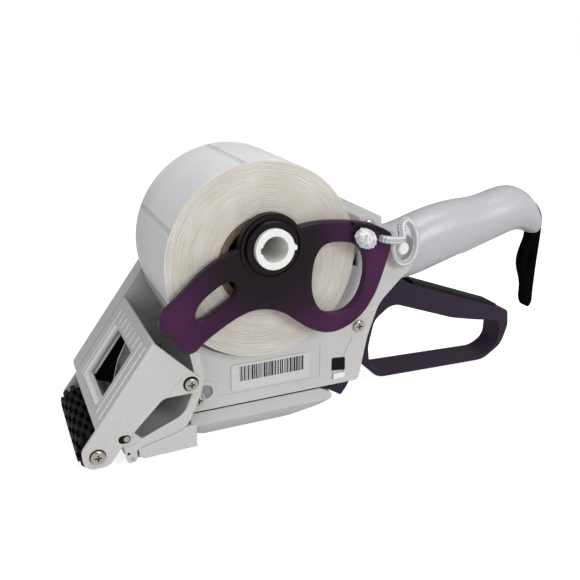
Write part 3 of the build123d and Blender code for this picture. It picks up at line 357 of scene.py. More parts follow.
def makeThread(name, colour, dark, roughness, threadMm, sheen, shine):
    # twisted filaments: fine lines of light along each strand, and a soft fuzz at its edge
    material, tree, shader, place = newMaterial(name)
    fuzz = addNode(tree, "ShaderNodeTexNoise", {
        "Vector": place, "Scale": perMetre(threadMm), "Detail": 4.0}).outputs[0]
    bump = addNode(tree, "ShaderNodeBump", {"Height": fuzz, "Strength": 0.4, "Distance": 0.1 * mm})
    setInputs(tree, shader, {
        "Base Color": mixedColour(tree, spreadTo(tree, fuzz, 0, 1), dark, colour), "Roughness": roughness,
        "Sheen Weight": sheen, "Sheen Roughness": 0.4, "Specular IOR Level": shine,
        "Normal": bump.outputs[0]})
    return material


greyAbs = makeShellAbs()
plum = makeTintedAbs("sparkTexturedPlumAbs", plumAbs)
darkPlum = makeTintedAbs("sparkTexturedDarkPlumAbs", leverAbs)
handleAbs, pitAbs, plateLabel, whiteAbsAndHighlight, naturalAcetal, blackAbsAndShade, ink = [
    makePlainPlastic(name, *look) for name, look in plainPlastics.items()]
smoked = makeSmokedPlastic()
nickel = makeNickelSteel()
rubber = makeRubber()
labelFace = makeLabelFace("coatedThermalPaper", labelPaper["face"])
backingPaper = makeLabelFace("glassineBacking", labelPaper["backing"])
paperEdges = makeRollEdge()
cardboard = makeCardboard()
cordThread, cordShade, knotThread, cordGapShade, strapThread = [
    makeThread(name, *look) for name, look in threads.items()]
print("materials made")


# the frame's nodes: materials, and rounded edges

nodeMaterials = {
    "main_frame": greyAbs, "side_cover": greyAbs, "gear_cover": greyAbs, "label_bed": greyAbs,
    "nose_cover": greyAbs, "bottom_cover": greyAbs, "spindle_flange": greyAbs, "handle_grip": handleAbs,
    "spindle_tube": whiteAbsAndHighlight, "cord_post": whiteAbsAndHighlight, "press_tube": whiteAbsAndHighlight,
    "roll_guide": plum, "trigger_lever": darkPlum, "cover_latch": darkPlum,
    "lever_pad": rubber, "press_discs": rubber, "feed_roller": rubber,
    "nose_liner": blackAbsAndShade, "hold_down_leaf": smoked, "label_core": cardboard,
    "label_web": backingPaper, "label_roll": paperEdges,
    "sector_gear": naturalAcetal, "idler_cluster": naturalAcetal, "idler_gear": naturalAcetal,
    "feed_pinion": naturalAcetal, "shaft_bushes": naturalAcetal, "pinch_roller": naturalAcetal,
    "guide_cord": cordThread, "cord_knot": cordThread, "wrist_strap": strapThread,
}
edgeWidthsMm = {
    "main_frame": 0.5, "side_cover": 0.5, "gear_cover": 0.6, "nose_cover": 0.45, "bottom_cover": 0.5,
    "label_bed": 0.3, "roll_guide": 1.3, "trigger_lever": 1.4, "cover_latch": 0.8, "spindle_tube": 0.4,
    "press_discs": 0.25,
}


def softenEdges(piece, widthMm):
    # moulded parts have no razor edges: the seams of the CAD faces are joined first
    weld = piece.modifiers.new("joined", "WELD")
    weld.merge_threshold = 0.01 * mm
    bevel = piece.modifiers.new("rounded", "BEVEL")
    bevel.width = widthMm * mm
    bevel.segments = 3
    bevel.limit_method = "ANGLE"
    bevel.angle_limit = math.radians(40)
    bevel.use_clamp_overlap = True
    bevel.miter_outer = "MITER_ARC"
    normals = piece.modifiers.new("evened", "WEIGHTED_NORMAL")
    normals.keep_sharp = True
    normals.weight = 80


for name, node in nodes.items():
    # what isn't listed is a screw, pin, shaft, spring or bar, all of plated steel
    node.data.materials.clear()
    node.data.materials.append(nodeMaterials.get(name, nickel))
for name, widthMm in edgeWidthsMm.items():
    softenEdges(nodes[name], widthMm)
print("frame nodes dressed")


# helpers for meshes

def meshFrom(name, verts, faces):
    mesh = bpy.data.meshes.new(name)
    mesh.from_pydata([tuple(v) for v in verts], [], faces)
    mesh.validate()
    mesh.update()
    return mesh


def makeObject(name, mesh, body, materials, smooth=True):
    piece = bpy.data.objects.new(name, mesh)
    bpy.context.scene.collection.objects.link(piece)
    for material in materials:
        mesh.materials.append(material)
    mesh.polygons.foreach_set("use_smooth", [smooth] * len(mesh.polygons))
    if body:
        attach(piece, body)
    return piece


def joinRings(faces, first, count, around):
    # the skin and both ends of a tube whose rings of points follow each other
    for i in range(count - 1):
        a, b = first + i * around, first + (i + 1) * around
        for k in range(around):
            m = (k + 1) % around
            faces.append((a + k, a + m, b + m, b + k))
    last = first + (count - 1) * around
    faces.append(tuple(first + k for k in reversed(range(around))))
    faces.append(tuple(last + k for k in range(around)))


def plateBetween(verts, faces, outline, yBack, yFront):
    # a flat plate: its outline is (x, z) in mm, and it faces -Y
    first, count = len(verts), len(outline)
    for y in (yBack, yFront):
        verts += [(x * mm, y * mm, z * mm) for x, z in outline]
    faces.append(tuple(first + k for k in reversed(range(count))))
    faces.append(tuple(first + count + k for k in range(count)))
    for k in range(count):
        m = (k + 1) % count
        faces.append((first + k, first + m, first + count + m, first + count + k))


def makePlate(name, outline, yBack, yFront, body, material, slotName):
    verts, faces = [], []
    plateBetween(verts, faces, outline, yBack, yFront)
    return makeObject(name, meshFrom(name, verts, faces), body, [material], smooth=False)


def rectangle(low, high):
    return [(low[0], low[1]), (high[0], low[1]), (high[0], high[1]), (low[0], high[1])]


def roundedBox(low, high, radius, steps=6):
    corners = [(high[0], high[1], 0), (low[0], high[1], 90), (low[0], low[1], 180), (high[0], low[1], 270)]
    outline = []
    for x, z, turn in corners:
        cx = x - radius if x == high[0] else x + radius
        cz = z - radius if z == high[1] else z + radius
        for k in range(steps + 1):
            a = math.radians(turn + 90 * k / steps)
            outline.append((cx + radius * math.cos(a), cz + radius * math.sin(a)))
    return outline


def circle(centre, radius, count=40):
    turns = [2 * math.pi * k / count for k in range(count)]
    return [(centre[0] + radius * math.cos(t), centre[1] + radius * math.sin(t)) for t in turns]


def prism(verts, faces, section, low, high, spot):
    # a section pushed from low to high; spot turns (a, across, b) into a place in metres
    first, count = len(verts), len(section)
    for across in (low, high):
        verts += [spot(a, across, b) for a, b in section]
    faces.append(tuple(first + k for k in range(count)))
    faces.append(tuple(first + count + k for k in reversed(range(count))))
    for k in range(count):
        m = (k + 1) % count
        faces.append((first + m, first + k, first + count + k, first + count + m))


# camera, floor and light

cameraPlace = {
    "positionMm": (-125.4, -350.2, 210.0), "lensMm": 45.82, "sensorMm": 36.0,
    "right": (0.9184, -0.3956, 0.007), "down": (-0.1371, -0.3182, -0.9381),
    "ahead": (0.3711, 0.8616, -0.3465),
}


def makeCamera():
    data = bpy.data.cameras.new("camera")
    data.lens = cameraPlace["lensMm"]
    data.sensor_width = cameraPlace["sensorMm"]
    data.clip_start, data.clip_end = 0.02, 20.0
    camera = bpy.data.objects.new("camera", data)
    bpy.context.scene.collection.objects.link(camera)
    right, down, ahead = [Vector(cameraPlace[k]).normalized() for k in ("right", "down", "ahead")]
    turn = Matrix((right, -down, -ahead)).transposed().to_4x4()
    camera.matrix_world = Matrix.Translation(Vector(cameraPlace["positionMm"]) * mm) @ turn
    bpy.context.scene.camera = camera


studio = {
    "worldStrength": 0.31,
    "floorColour": "DEDEDE", "floorGlow": 0.05, "floorGlowSeen": 0.8, "floorReach": 3.0, "floorZmm": -0.3,
    "lamps": [
        # name, position and target in metres, size, watts
        ("topSoftbox", (0.10, -0.20, 0.90), (0.02, 0.0, 0.05), 0.5, 4.1),
        ("rightSoftbox", (0.38, -0.92, 0.50), (0.05, 0.0, 0.06), 0.4, 5.0),
        ("leftFill", (-0.7, -0.6, 0.35), (0.0, 0.0, 0.06), 0.7, 1.5),
    ],
}


def makeStudio():
    scene = bpy.context.scene
    scene.view_settings.view_transform = "Standard"
    world = bpy.data.worlds.new("studio")
    scene.world = world
    world.use_nodes = True
    tree = world.node_tree
    tree.nodes.clear()
    # the world lights softly, and is pure white where it is seen
    path = addNode(tree, "ShaderNodeLightPath").outputs
    seen = addNode(tree, "ShaderNodeMath", {
        0: path["Is Camera Ray"], 1: path["Is Transmission Ray"]}, operation="MAXIMUM").outputs[0]
    strength = spreadTo(tree, seen, studio["worldStrength"], 1.0, 0.0, 1.0)
    white = addNode(tree, "ShaderNodeBackground", {"Color": hexToLinear("FFFFFF"), "Strength": strength})
    addNode(tree, "ShaderNodeOutputWorld", {"Surface": white.outputs[0]})
    for name, position, target, size, power in studio["lamps"]:
        data = bpy.data.lights.new(name, "AREA")
        data.size = size
        data.energy = power
        lamp = bpy.data.objects.new(name, data)
        scene.collection.objects.link(lamp)
        lamp.location = position
        lamp.rotation_euler = (Vector(target) - Vector(position)).to_track_quat("-Z", "Y").to_euler()


def makeFloor():
    # a sweep of white paper, lit to pure white where the camera sees it
    reach, low = studio["floorReach"], studio["floorZmm"] * mm
    corners = [(-reach, -reach, low), (reach, -reach, low), (reach, reach, low), (-reach, reach, low)]
    mesh = meshFrom("floor", corners, [(0, 1, 2, 3)])
    material = bpy.data.materials.new("paperSweep")
    material.use_nodes = True
    tree = material.node_tree
    tree.nodes.clear()
    diffuse = addNode(tree, "ShaderNodeBsdfDiffuse", {"Color": hexToLinear(studio["floorColour"])})
    ways = []
    for glow in (studio["floorGlow"], studio["floorGlowSeen"]):
        light = addNode(tree, "ShaderNodeEmission", {"Color": hexToLinear("FFFFFF"), "Strength": glow})
        both = addNode(tree, "ShaderNodeAddShader", {0: diffuse.outputs[0], 1: light.outputs[0]})
        ways.append(both.outputs[0])
    seen = addNode(tree, "ShaderNodeLightPath").outputs["Is Camera Ray"]
    pick = addNode(tree, "ShaderNodeMixShader", {0: seen, 1: ways[0], 2: ways[1]})
    addNode(tree, "ShaderNodeOutputMaterial", {"Surface": pick.outputs[0]})
    mesh.materials.append(material)
    floor = bpy.data.objects.new("floor", mesh)
    bpy.context.scene.collection.objects.link(floor)


makeCamera()
makeStudio()
makeFloor()
print("camera, studio and floor made")


# label roll: its wound edges, and the outermost labels on their backing

labelRoll = {
    "radiusMm": 50.0, "coreMm": 23.45, "centreZmm": 98.0, "halfWidthMm": 30.0, "labelThickMm": 0.2,
    "turnMm": 0.95, "grooveMm": 0.3, "waverMm": 0.18, "standOutMm": 0.15, "columns": 300,
    # across one turn: how far along it, how much of the groove's depth, and how much of its shade
    "turnRows": [(0.16, 0.0, 0.1), (0.78, 0.0, 0.0), (0.9, 0.4, 0.3)],
    # next to the rim: where the last turn may start and end, and the flat rim's width and depth
    "lastTurnMm": (0.3, 0.25), "rimMm": (0.2, 0.06),
    # the turns wander and are wound more or less tightly, but stay steady near the core and the rim
    "wander": 2.0, "wanderPerMm": 0.12, "tightness": (0.65, 0.6), "tightPattern": 1.9, "steadyMm": 3.0,
    "labelMm": 46.3, "gapMm": 2.7, "marginMm": 0.9, "cornerMm": 2.0, "webLeavesDegrees": 213.0,
}


def rollSpot(radius, angle, y):
    x, z = radius * math.cos(angle), labelRoll["centreZmm"] + radius * math.sin(angle)
    return (x * mm, y * mm, z * mm)


def rollProfile(rim):
    # radius, depth and groove shade from the core out to the rim: each turn has a groove and a flat crest
    look = labelRoll
    rows, radius = [], look["coreMm"]
    (lastStart, lastEnd), (flat, sunk) = look["lastTurnMm"], look["rimMm"]
    while radius < rim - lastStart:
        turn = look["turnMm"] * random.uniform(0.85, 1.15)
        out = random.uniform(0, look["standOutMm"])
        deep = look["grooveMm"] * random.uniform(0.5, 1.0)
        rows.append((radius, out + deep, deep / look["grooveMm"]))
        rows += [(radius + along * turn, out + part * deep, shade) for along, part, shade in look["turnRows"]]
        radius += turn
    rows = [row for row in rows if row[0] < rim - lastEnd]
    return rows + [(rim - flat, 0.0, 0.0), (rim, sunk, 0.0)]


def addWinding(verts, faces, kinds, shades, rim):
    look = labelRoll
    rows, count = rollProfile(rim), look["columns"]
    (least, more), wander = look["tightness"], look["wander"]
    for side in (-1, 1):
        for radius, deep, shade in rows:
            free = min(1.0, (radius - look["coreMm"]) / look["steadyMm"], (rim - radius) / look["steadyMm"])
            for k in range(count):
                angle = 2 * math.pi * k / count
                outward = radius * look["wanderPerMm"] + 7 * side
                around = Vector((math.cos(angle) * wander, math.sin(angle) * wander, outward))
                waver = look["waverMm"] * free * 2 * noise.noise(around)
                tight = least + more * noise.noise(around * look["tightPattern"] + Vector((3, 5, radius)))
                y = side * (look["halfWidthMm"] - 0.02 - deep * tight)
                verts.append(rollSpot(radius + waver, angle, y))
                shades.append(max(0.0, min(1.0, shade * (tight + 0.1))))
    size, last = len(rows) * count, (len(rows) - 1) * count
    for k in range(count):
        m = (k + 1) % count
        for a in range(0, last, count):
            b = a + count
            faces.append((a + k, b + k, b + m, a + m))
            faces.append((size + a + m, size + b + m, size + b + k, size + a + k))
            kinds += [0, 0]
        faces += [(last + k, size + last + k, size + last + m, last + m), (m, size + m, size + k, k)]
        kinds += [2, 2]


def addOuterLabel(verts, faces, kinds, shades, rim, low, high):
    # a thin sheet with rounded corners between two angles of the roll
    look = labelRoll
    outer, corner = look["radiusMm"], look["cornerMm"]
    gap = math.degrees(look["gapMm"] / outer)
    length = math.radians(high - low - gap) * outer
    near = [corner * share for share in (0.0, 0.08, 0.25, 0.5, 1.0)]
    inside = [corner + (length - 2 * corner) * f / 24 for f in range(1, 24)]
    first, places = len(verts), near + inside + [length - x for x in reversed(near)]
    for x in places:
        short = corner - min(x, length - x, corner)
        wide = look["halfWidthMm"] - look["marginMm"] - (corner - math.sqrt(corner**2 - short**2))
        angle = math.radians(low + gap / 2) + x / outer
        for radius, y in ((rim - 0.02, -wide), (outer, -wide), (outer, wide), (rim - 0.02, wide)):
            verts.append(rollSpot(radius, angle, y))
            shades.append(0.0)
    last = first + 4 * (len(places) - 1)
    for a in range(first, last, 4):
        faces += [(a + k, a + 4 + k, a + 5 + k, a + 1 + k) for k in range(3)]
        kinds += [1, 1, 1]
    faces += [(first, first + 1, first + 2, first + 3), (last + 3, last + 2, last + 1, last)]
    kinds += [1, 1]


def makeLabelRoll():
    look = labelRoll
    rim = look["radiusMm"] - look["labelThickMm"]
    verts, faces, kinds, shades = [], [], [], []
    addWinding(verts, faces, kinds, shades, rim)
    # labels are counted from where the web leaves, and the last one is what is left of the turn
    leaves = look["webLeavesDegrees"]
    pitch = math.degrees((look["labelMm"] + look["gapMm"]) / look["radiusMm"])
    ends = [leaves - pitch * k for k in range(7)] + [leaves - 360]
    for high, low in zip(ends, ends[1:]):
        addOuterLabel(verts, faces, kinds, shades, rim, low, high)
    mesh = meshFrom("labelRoll", verts, faces)
    roll = makeObject("labelRoll", mesh, "roll", [paperEdges, labelFace, backingPaper])
    mesh.polygons.foreach_set("material_index", kinds)
    attribute = mesh.attributes.new("groove", "FLOAT", "POINT")
    attribute.data.foreach_set("value", shades)
    sharp = roll.modifiers.new("edges", "EDGE_SPLIT")
    sharp.split_angle = math.radians(50)
    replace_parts(roll, "label_roll")


random.seed(7)
makeLabelRoll()
print("label roll made")


# nose cover: moulded ridges along its slope

nosePlane = {"lowXZmm": (-87.8, 25.6), "slopeDegrees": 53.5}


def noseSpot(along, y, depth):
    # a place on the nose's slope in metres, from mm up the slope, across it and below its skin
    slope = math.radians(nosePlane["slopeDegrees"])
    x = nosePlane["lowXZmm"][0] + along * math.cos(slope) + depth * math.sin(slope)
    z = nosePlane["lowXZmm"][1] + along * math.sin(slope) - depth * math.cos(slope)
    return (x * mm, y * mm, z * mm)


noseRidges = {
    "farMm": 24.8, "stepMm": 6.68, "count": 9, "widthMm": 1.1, "heightMm": 0.4, "sunkMm": 0.02,
    "alongMm": (4.0, 45.9), "windowAlongMm": (5.2, 39.2), "windowAcrossMm": (-17.6, 18.4), "around": 9,
    "endDegrees": (0, 25, 50, 75, 90), "thinnest": 0.02,
}


def addRidge(verts, faces, y, low, high):
    # half a round bar with rounded ends
    look = noseRidges
    half, around, first = look["widthMm"] / 2, look["around"], len(verts)
    turns = [math.radians(a) for a in look["endDegrees"]]
    stations = [(low + half * (1 - math.cos(a)), max(look["thinnest"], math.sin(a))) for a in turns]
    stations += [(high + low - along, scale) for along, scale in reversed(stations)]
    for along, scale in stations:
        for k in range(around):
            t = math.pi * k / (around - 1)
            lift = math.sin(t) * look["heightMm"] * scale - look["sunkMm"]
            verts.append(noseSpot(along, y + math.cos(t) * half * scale, -lift))
    joinRings(faces, first, len(stations), around)


def makeNoseRidges():
    look = noseRidges
    (low, high), (windowLow, windowHigh) = look["alongMm"], look["windowAlongMm"]
    verts, faces = [], []
    for i in range(look["count"]):
        y = look["farMm"] - i * look["stepMm"]
        if look["windowAcrossMm"][0] < y < look["windowAcrossMm"][1]:
            addRidge(verts, faces, y, low, windowLow)
            addRidge(verts, faces, y, windowHigh, high)
        else:
            addRidge(verts, faces, y, low, high)
    # their white stands in for the light the ridges catch: painted highlight
    makeObject("noseRidges", meshFrom("noseRidges", verts, faces), "nose", [whiteAbsAndHighlight])


makeNoseRidges()
print("nose ridges made")


# sticker in its moulded field

sticker = {
    "lowMm": (-15.7, 26.3), "highMm": (29.1, 41.1), "wallYmm": -22.0, "thickMm": 0.1, "cornerMm": 1.7,
    "barsLowMm": (-10.9, 31.3), "barsHighMm": (25.6, 39.8), "barStepMm": 0.36, "inkMm": 0.015,
    "barSteps": (1, 1, 2, 2, 3), "gapSteps": (1, 1, 1, 2), "lastBarMm": 1.2,
}


def makeSticker():
    look = sticker
    wall, front = look["wallYmm"], look["wallYmm"] - look["thickMm"]
    sheet = roundedBox(look["lowMm"], look["highMm"], look["cornerMm"])
    makePlate("sticker", sheet, wall + 0.02, front, "chassis", plateLabel, "label_paper")
    # generic bars, in the random widths of no real code
    (x, low), (end, high), step = look["barsLowMm"], look["barsHighMm"], look["barStepMm"]
    verts, faces = [], []
    while x < end - look["lastBarMm"]:
        wide = step * random.choice(look["barSteps"])
        plateBetween(verts, faces, rectangle((x, low), (x + wide, high)), front + 0.01, front - look["inkMm"])
        x += wide + step * random.choice(look["gapSteps"])
    mesh = meshFrom("stickerBars", verts, faces)
    makeObject("stickerBars", mesh, "chassis", [ink], smooth=False)


makeSticker()
print("sticker made")


# the nose's window: its sill, and a painted highlight on the smoked leaf's edge

windowSill = {
    "acrossMm": (-16.4, 17.3), "alongMm": (8.7, 37.8), "wideMm": 2.8, "liftMm": 0.8, "backMm": 0.4,
    "wallAlongMm": (9.9, 36.5), "wallAcrossMm": (16.0, 16.8), "wallDepthMm": (1.5, 3.7), "roundMm": 0.15,
}


def makeWindowSill():
    # a sill slopes into the window at its lower and far edges, and the far wall goes on below the skin; their
    # white is painted light
    look = windowSill
    (near, far), (low, high), wide = look["acrossMm"], look["alongMm"], look["wideMm"]
    verts, faces = [], []
    (wallLow, wallHigh), (shallow, deep) = look["wallAlongMm"], look["wallDepthMm"]
    wall = rectangle((wallLow, shallow), (wallHigh, deep))
    prism(verts, faces, wall, *look["wallAcrossMm"], noseSpot)
    first = len(verts)
    for grow, rise in ((0.0, 0.02), (wide, look["liftMm"]), (wide + look["backMm"], -0.03)):
        for y, along in ((near, low - grow), (far + grow, low - grow), (far + grow, high)):
            verts.append(noseSpot(along, y, -rise))
    for a, b in ((0, 3), (3, 6), (6, 0)):
        for k in (first, first + 1):
            faces.append((k + a, k + b, k + b + 1, k + a + 1))
    faces += [(first, first + 6, first + 3), (first + 2, first + 5, first + 8)]
    mesh = meshFrom("windowSill", verts, faces)
    piece = makeObject("windowSill", mesh, "nose", [whiteAbsAndHighlight], smooth=False)
    softenEdges(piece, look["roundMm"])


leafEdgeHighlight = {
    # along the slope and depth below it, down to the bent end
    "lineMm": [(40.0, 4.85), (36.0, 4.9), (24.0, 6.9), (12.2, 11.4)],
    "acrossMm": (8.2, 9.05), "aboveMm": 0.1, "belowMm": 0.95, "slantMm": 0.2,
}


def makeLeafEdge():
    # the smoked leaf is bent down, and a white strip along its far edge is a painted highlight
    look = leafEdgeHighlight
    upper = [(along, depth - look["aboveMm"]) for along, depth in look["lineMm"]]
    lower = [(along - look["slantMm"], depth + look["belowMm"]) for along, depth in reversed(look["lineMm"])]
    verts, faces = [], []
    prism(verts, faces, upper + lower, *look["acrossMm"], noseSpot)
    mesh = meshFrom("leafEdgeHighlight", verts, faces)
    makeObject("leafEdgeHighlight", mesh, "nose", [whiteAbsAndHighlight], smooth=False)


makeWindowSill()
makeLeafEdge()
print("window sill and leaf edge made")


# small places in shade: screw recesses, the guide bar's notch, the latch's window, the boss

cheek = {
    "yMm": -33.6, "screwsMm": [(-88.0, 11.8), (-40.4, 41.4)], "recessMm": (3.2, 4.0), "recessDepthMm": 0.03,
    "barMm": (-73.6, 18.2), "barRadiusMm": 1.5, "barOutMm": 0.25,
    "notchLowMm": (-77.6, 16.0), "notchHighMm": (-71.8, 20.4), "notchRoundMm": 1.9,
}


def ringBetween(verts, faces, centre, inner, outer, yBack, yFront):
    first, count = len(verts), 40
    for radius, y in ((inner, yBack), (inner, yFront), (outer, yFront), (outer, yBack)):
        verts += [(x * mm, y * mm, z * mm) for x, z in circle(centre, radius, count)]
    for row in range(4):
        a, b = first + row * count, first + ((row + 1) % 4) * count
        faces += [(a + k, a + (k + 1) % count, b + (k + 1) % count, b + k) for k in range(count)]


def makeCheekDetail():
    look = cheek
    y, deep = look["yMm"], look["recessDepthMm"]
    # painted shade: black rings round the two screws stand for the shade in their clearance gaps
    verts, faces = [], []
    for centre in look["screwsMm"]:
        ringBetween(verts, faces, centre, *look["recessMm"], y + deep, y - deep)
    mesh = meshFrom("screwGapShade", verts, faces)
    makeObject("screwGapShade", mesh, "nose", [blackAbsAndShade], smooth=False)
    # painted shade: a black plate at the end of the notch that clears the guide bar, and the bar's end in it
    notch = roundedBox(look["notchLowMm"], look["notchHighMm"], look["notchRoundMm"])
    makePlate("notchShade", notch, y + 0.05, y - deep, "nose", blackAbsAndShade, "black_plastic")
    barEnd = circle(look["barMm"], look["barRadiusMm"], 32)
    makePlate("guideBarEnd", barEnd, y, y - look["barOutMm"], "nose", nickel, "nickel_steel")


nearWall = {
    "windowMm": [(42.7, 34.8), (50.9, 34.0), (51.1, 25.9), (42.7, 26.9)], "windowYmm": (-21.0, -21.4),
    "scoopYZmm": [(-21.9, 25.0), (-22.7, 22.0), (-21.9, 21.4)], "scoopXmm": (43.8, 51.0), "scoopRoundMm": 0.3,
    "bossMm": (-30.0, 29.2), "bossRadiusMm": 4.0, "bossYmm": (-21.0, -21.6),
}


def makeWallDetail():
    look = nearWall
    # painted shade: a black plate fills the latch's window; the scoop below it is drawn in white as a painted
    # highlight
    makePlate("latchWindowShade", look["windowMm"], *look["windowYmm"], "chassis", blackAbsAndShade, "black_plastic")
    verts, faces = [], []
    prism(verts, faces, look["scoopYZmm"], *look["scoopXmm"], lambda y, x, z: (x * mm, y * mm, z * mm))
    mesh = meshFrom("latchScoop", verts, faces)
    scoop = makeObject("latchScoop", mesh, "chassis", [whiteAbsAndHighlight], smooth=False)
    softenEdges(scoop, look["scoopRoundMm"])
    # the feed shaft's end lies deep in its boss, behind a dark grey disc of painted shade
    floor = circle(look["bossMm"], look["bossRadiusMm"])
    makePlate("bossFloor", floor, *look["bossYmm"], "chassis", pitAbs, "shell_plastic")


bedRim = {
    "yMm": (-31.65, -31.93), "roundMm": 0.1, "eyeMm": (-72.9, 8.6), "eyeRadiusMm": 0.8,
    "outerMm": [
        (-35.3, 41.1), (-35.9, 35.4), (-38.1, 27.8), (-41.5, 22.5), (-45.9, 18.6), (-51.5, 16.1),
        (-58.8, 14.0), (-66.2, 10.9), (-70.8, 8.5), (-73.0, 6.7), (-74.3, 8.4), (-74.8, 12.4)],
    "innerMm": [
        (-72.6, 12.2), (-71.4, 12.7), (-66.8, 15.1), (-58.5, 18.8), (-51.2, 21.6),
        (-46.5, 23.6), (-44.1, 25.8), (-40.8, 30.0), (-38.9, 35.2), (-38.4, 40.8)],
}


def makeBedRim():
    # the smooth outer edge of the bed's side, tapering down to the cover's hinge
    look = bedRim
    outline = look["outerMm"] + look["innerMm"]
    rim = makePlate("bedRim", outline, *look["yMm"], "chassis", greyAbs, "shell_plastic")
    softenEdges(rim, look["roundMm"])
    face, eye = look["yMm"][1], circle(look["eyeMm"], look["eyeRadiusMm"], 20)
    # a black disc drawn as painted shade for the eye near the rim's tip
    makePlate("bedEye", eye, face + 0.02, face - 0.02, "chassis", blackAbsAndShade, "black_plastic")


lines = {
    "seamLowMm": (-37.5, 17.75), "seamHighMm": (48.0, 18.2), "seamYmm": (-21.2, -21.95),
    "creaseMm": [(-54.4, 36.6), (-41.7, 48.1)], "creaseWideMm": 0.35, "creaseYmm": (-33.55, -33.75),
}


def makeLines():
    look = lines
    # the shadow line between the near wall and the bottom cover
    seam = rectangle(look["seamLowMm"], look["seamHighMm"])
    makePlate("coverSeam", seam, *look["seamYmm"], "chassis", blackAbsAndShade, "black_plastic")
    # a low crease that strengthens the cheek beside its pivot
    start, end = [Vector(place) for place in look["creaseMm"]]
    along = (end - start).normalized() * look["creaseWideMm"] / 2
    aside = Vector((-along.y, along.x))
    crease = [start + aside, start - aside, end - aside, end + aside]
    makePlate("cheekCrease", crease, *look["creaseYmm"], "nose", greyAbs, "shell_plastic")


makeCheekDetail()
makeWallDetail()
makeBedRim()
makeLines()
print("cheek, wall and bed detail made")


# cord: the route's points repeat the CAD source's

guideCord = {
    "diameterMm": 3.8, "looseMm": 0.3, "stepMm": 0.35, "coreShare": 0.6, "coreAround": 12,
    "bendFromMm": (70.6, -40.6, 103.7), "bendToMm": (84.0, -26.0, 103.0),
    "routeMm": [
        (61.2, -34.7, 105.3), (61.2, -40.6, 105.3), (70.6, -40.6, 103.7), (77.4, -32.5, 102.0),
        (78.8, -27.0, 107.8), (83.4, -26.0, 110.6), (88.0, -26.0, 105.4), (90.4, -26.0, 96.4),
        (88.0, -26.0, 87.4), (81.8, -26.0, 85.0), (76.0, -26.0, 89.4), (75.2, -26.0, 96.9)],
}
braid = {"strands": 4, "pitchMm": 6.2, "strandMm": 1.9, "flatness": 0.46, "overMm": 0.42, "around": 7}


def nurbsLine(name, places):
    data = bpy.data.curves.new(name, "CURVE")
    data.dimensions = "3D"
    data.resolution_u = 24
    spline = data.splines.new("NURBS")
    spline.points.add(len(places) - 1)
    for point, place in zip(spline.points, places):
        point.co = (*[c * mm for c in place], 1.0)
    spline.order_u = 3
    spline.use_endpoint_u = True
    return data


def lineOf(data):
    # the smooth line of a curve, as points in order
    holder = bpy.data.objects.new("lineHolder", data)
    bpy.context.scene.collection.objects.link(holder)
    bpy.context.view_layer.update()
    mesh = bpy.data.meshes.new_from_object(holder.evaluated_get(bpy.context.evaluated_depsgraph_get()))
    points = [v.co.copy() for v in mesh.vertices]
    bpy.data.meshes.remove(mesh)
    bpy.data.objects.remove(holder)
    return points


def evenly(points, step):
    out, carried = [points[0].copy()], 0.0
    for a, b in zip(points, points[1:]):
        length = (b - a).length
        while carried + length >= step:
            a = a.lerp(b, (step - carried) / length)
            out.append(a.copy())
            length = (b - a).length
            carried = 0.0
        carried += length
    return out


def turningFrames(points):
    # a frame at each point that doesn't twist along the line
    frames, side = [], None
    for i, p in enumerate(points):
        before, after = points[max(i - 1, 0)], points[min(i + 1, len(points) - 1)]
        ahead = (after - before).normalized()
        if side is None:
            side = ahead.orthogonal().normalized()
        side = (side - ahead * side.dot(ahead)).normalized()
        frames.append((p, side, ahead.cross(side)))
    return frames


def addStrand(verts, faces, frames, step, radius, way, number):
    # one flat strand, which winds round the line and goes over and under those that cross it
    look = braid
    first, around, count = len(verts), look["around"], look["strands"]
    wide = look["strandMm"] * mm / 2
    thick, over = wide * look["flatness"], look["overMm"] * mm
    base, pitch = radius - thick - over, look["pitchMm"] * mm
    for i, (p, side, up) in enumerate(frames):
        turned = 2 * math.pi * i * step / pitch
        angle = way * turned + 2 * math.pi * number / count
        lift = over * way * math.cos(count * turned + way * math.pi / 2)
        out = side * math.cos(angle) + up * math.sin(angle)
        turning = up * math.cos(angle) - side * math.sin(angle)
        ahead = side.cross(up) * pitch + turning * (way * 2 * math.pi * base)
        across = out.cross(ahead).normalized()
        centre = p + out * (base + lift)
        for k in range(around):
            t = 2 * math.pi * k / around
            verts.append(centre + across * (wide * math.cos(t)) + out * (thick * math.sin(t)))
    joinRings(faces, first, len(frames), around)


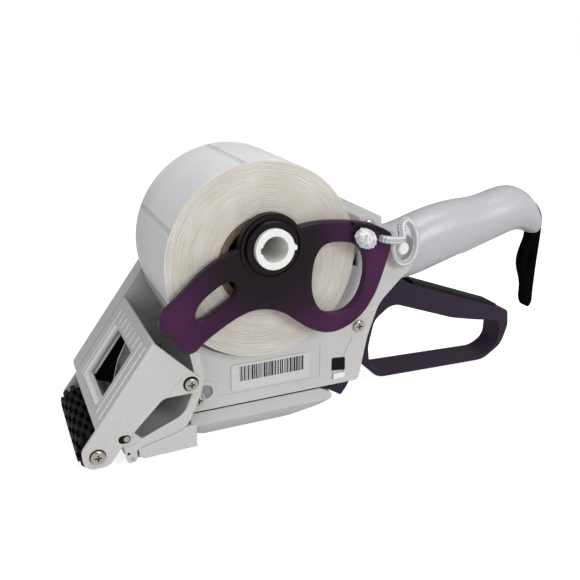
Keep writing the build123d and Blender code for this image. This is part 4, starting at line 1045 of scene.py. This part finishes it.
def makeGuideCord():
    look = guideCord
    points = evenly(lineOf(nurbsLine("guideCordLine", look["routeMm"])), look["stepMm"] * mm)
    frames, step = turningFrames(points), (points[1] - points[0]).length
    # the loose braid bulges a little past the cord's size when pulled tight
    radius = (look["diameterMm"] / 2 + look["looseMm"]) * mm
    verts, faces, kinds = [], [], []
    for kind, way in enumerate((1, -1)):
        for number in range(braid["strands"]):
            addStrand(verts, faces, frames, step, radius, way, number)
        kinds += [kind] * (len(faces) - len(kinds))
    # a smooth core closes the small gaps between the strands; its grey is painted shade in the gaps
    first, core, around = len(verts), radius * look["coreShare"], look["coreAround"]
    for p, side, up in frames:
        verts += [p + side * u + up * v for u, v in circle((0, 0), core, around)]
    joinRings(faces, first, len(frames), around)
    kinds += [2] * (len(faces) - len(kinds))
    mesh = meshFrom("guideCord", verts, faces)
    cord = makeObject("guideCord", mesh, None, [cordThread, cordShade, cordGapShade])
    mesh.polygons.foreach_set("material_index", kinds)
    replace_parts(cord, "guide_cord")
    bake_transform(cord)


knot = {
    "centreMm": (50.2, -41.2, 107.3), "sizeMm": (6.9, 3.7, 5.3), "turnDegrees": 38.0, "sunkMm": 0.8,
    "lobeMm": 3.0, "lobeHighMm": 0.9, "tuftMm": 1.2, "tuftHighMm": 0.55, "crumpleHighMm": 0.2,
    "crumplePerMm": 2.4,
}


def makeKnot():
    # a knot pulled tight and melted into a lump: lobes of cord pressed together, with tufts of thread
    look = knot
    shape = bmesh.new()
    bmesh.ops.create_icosphere(shape, subdivisions=6, radius=1.0)
    turn = Matrix.Rotation(math.radians(look["turnDegrees"]), 4, "Y")
    for vertex in shape.verts:
        out = vertex.co.normalized()
        base = Vector([c * s for c, s in zip(out, look["sizeMm"])])
        apart, _ = noise.voronoi(base / look["lobeMm"])
        tuft, _ = noise.voronoi(base / look["tuftMm"])
        lump = look["lobeHighMm"] * (apart[1] - apart[0]) + look["tuftHighMm"] * min(1.0, tuft[1] - tuft[0])
        lump += look["crumpleHighMm"] * noise.noise(base * look["crumplePerMm"]) - look["sunkMm"]
        vertex.co = turn @ ((base + out * lump) * mm) + Vector(look["centreMm"]) * mm
    mesh = bpy.data.meshes.new("cordKnot")
    shape.to_mesh(mesh)
    shape.free()
    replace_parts(makeObject("cordKnot", mesh, "guide", [knotThread]), "cord_knot")


makeGuideCord()
makeKnot()
print("cord and knot made")
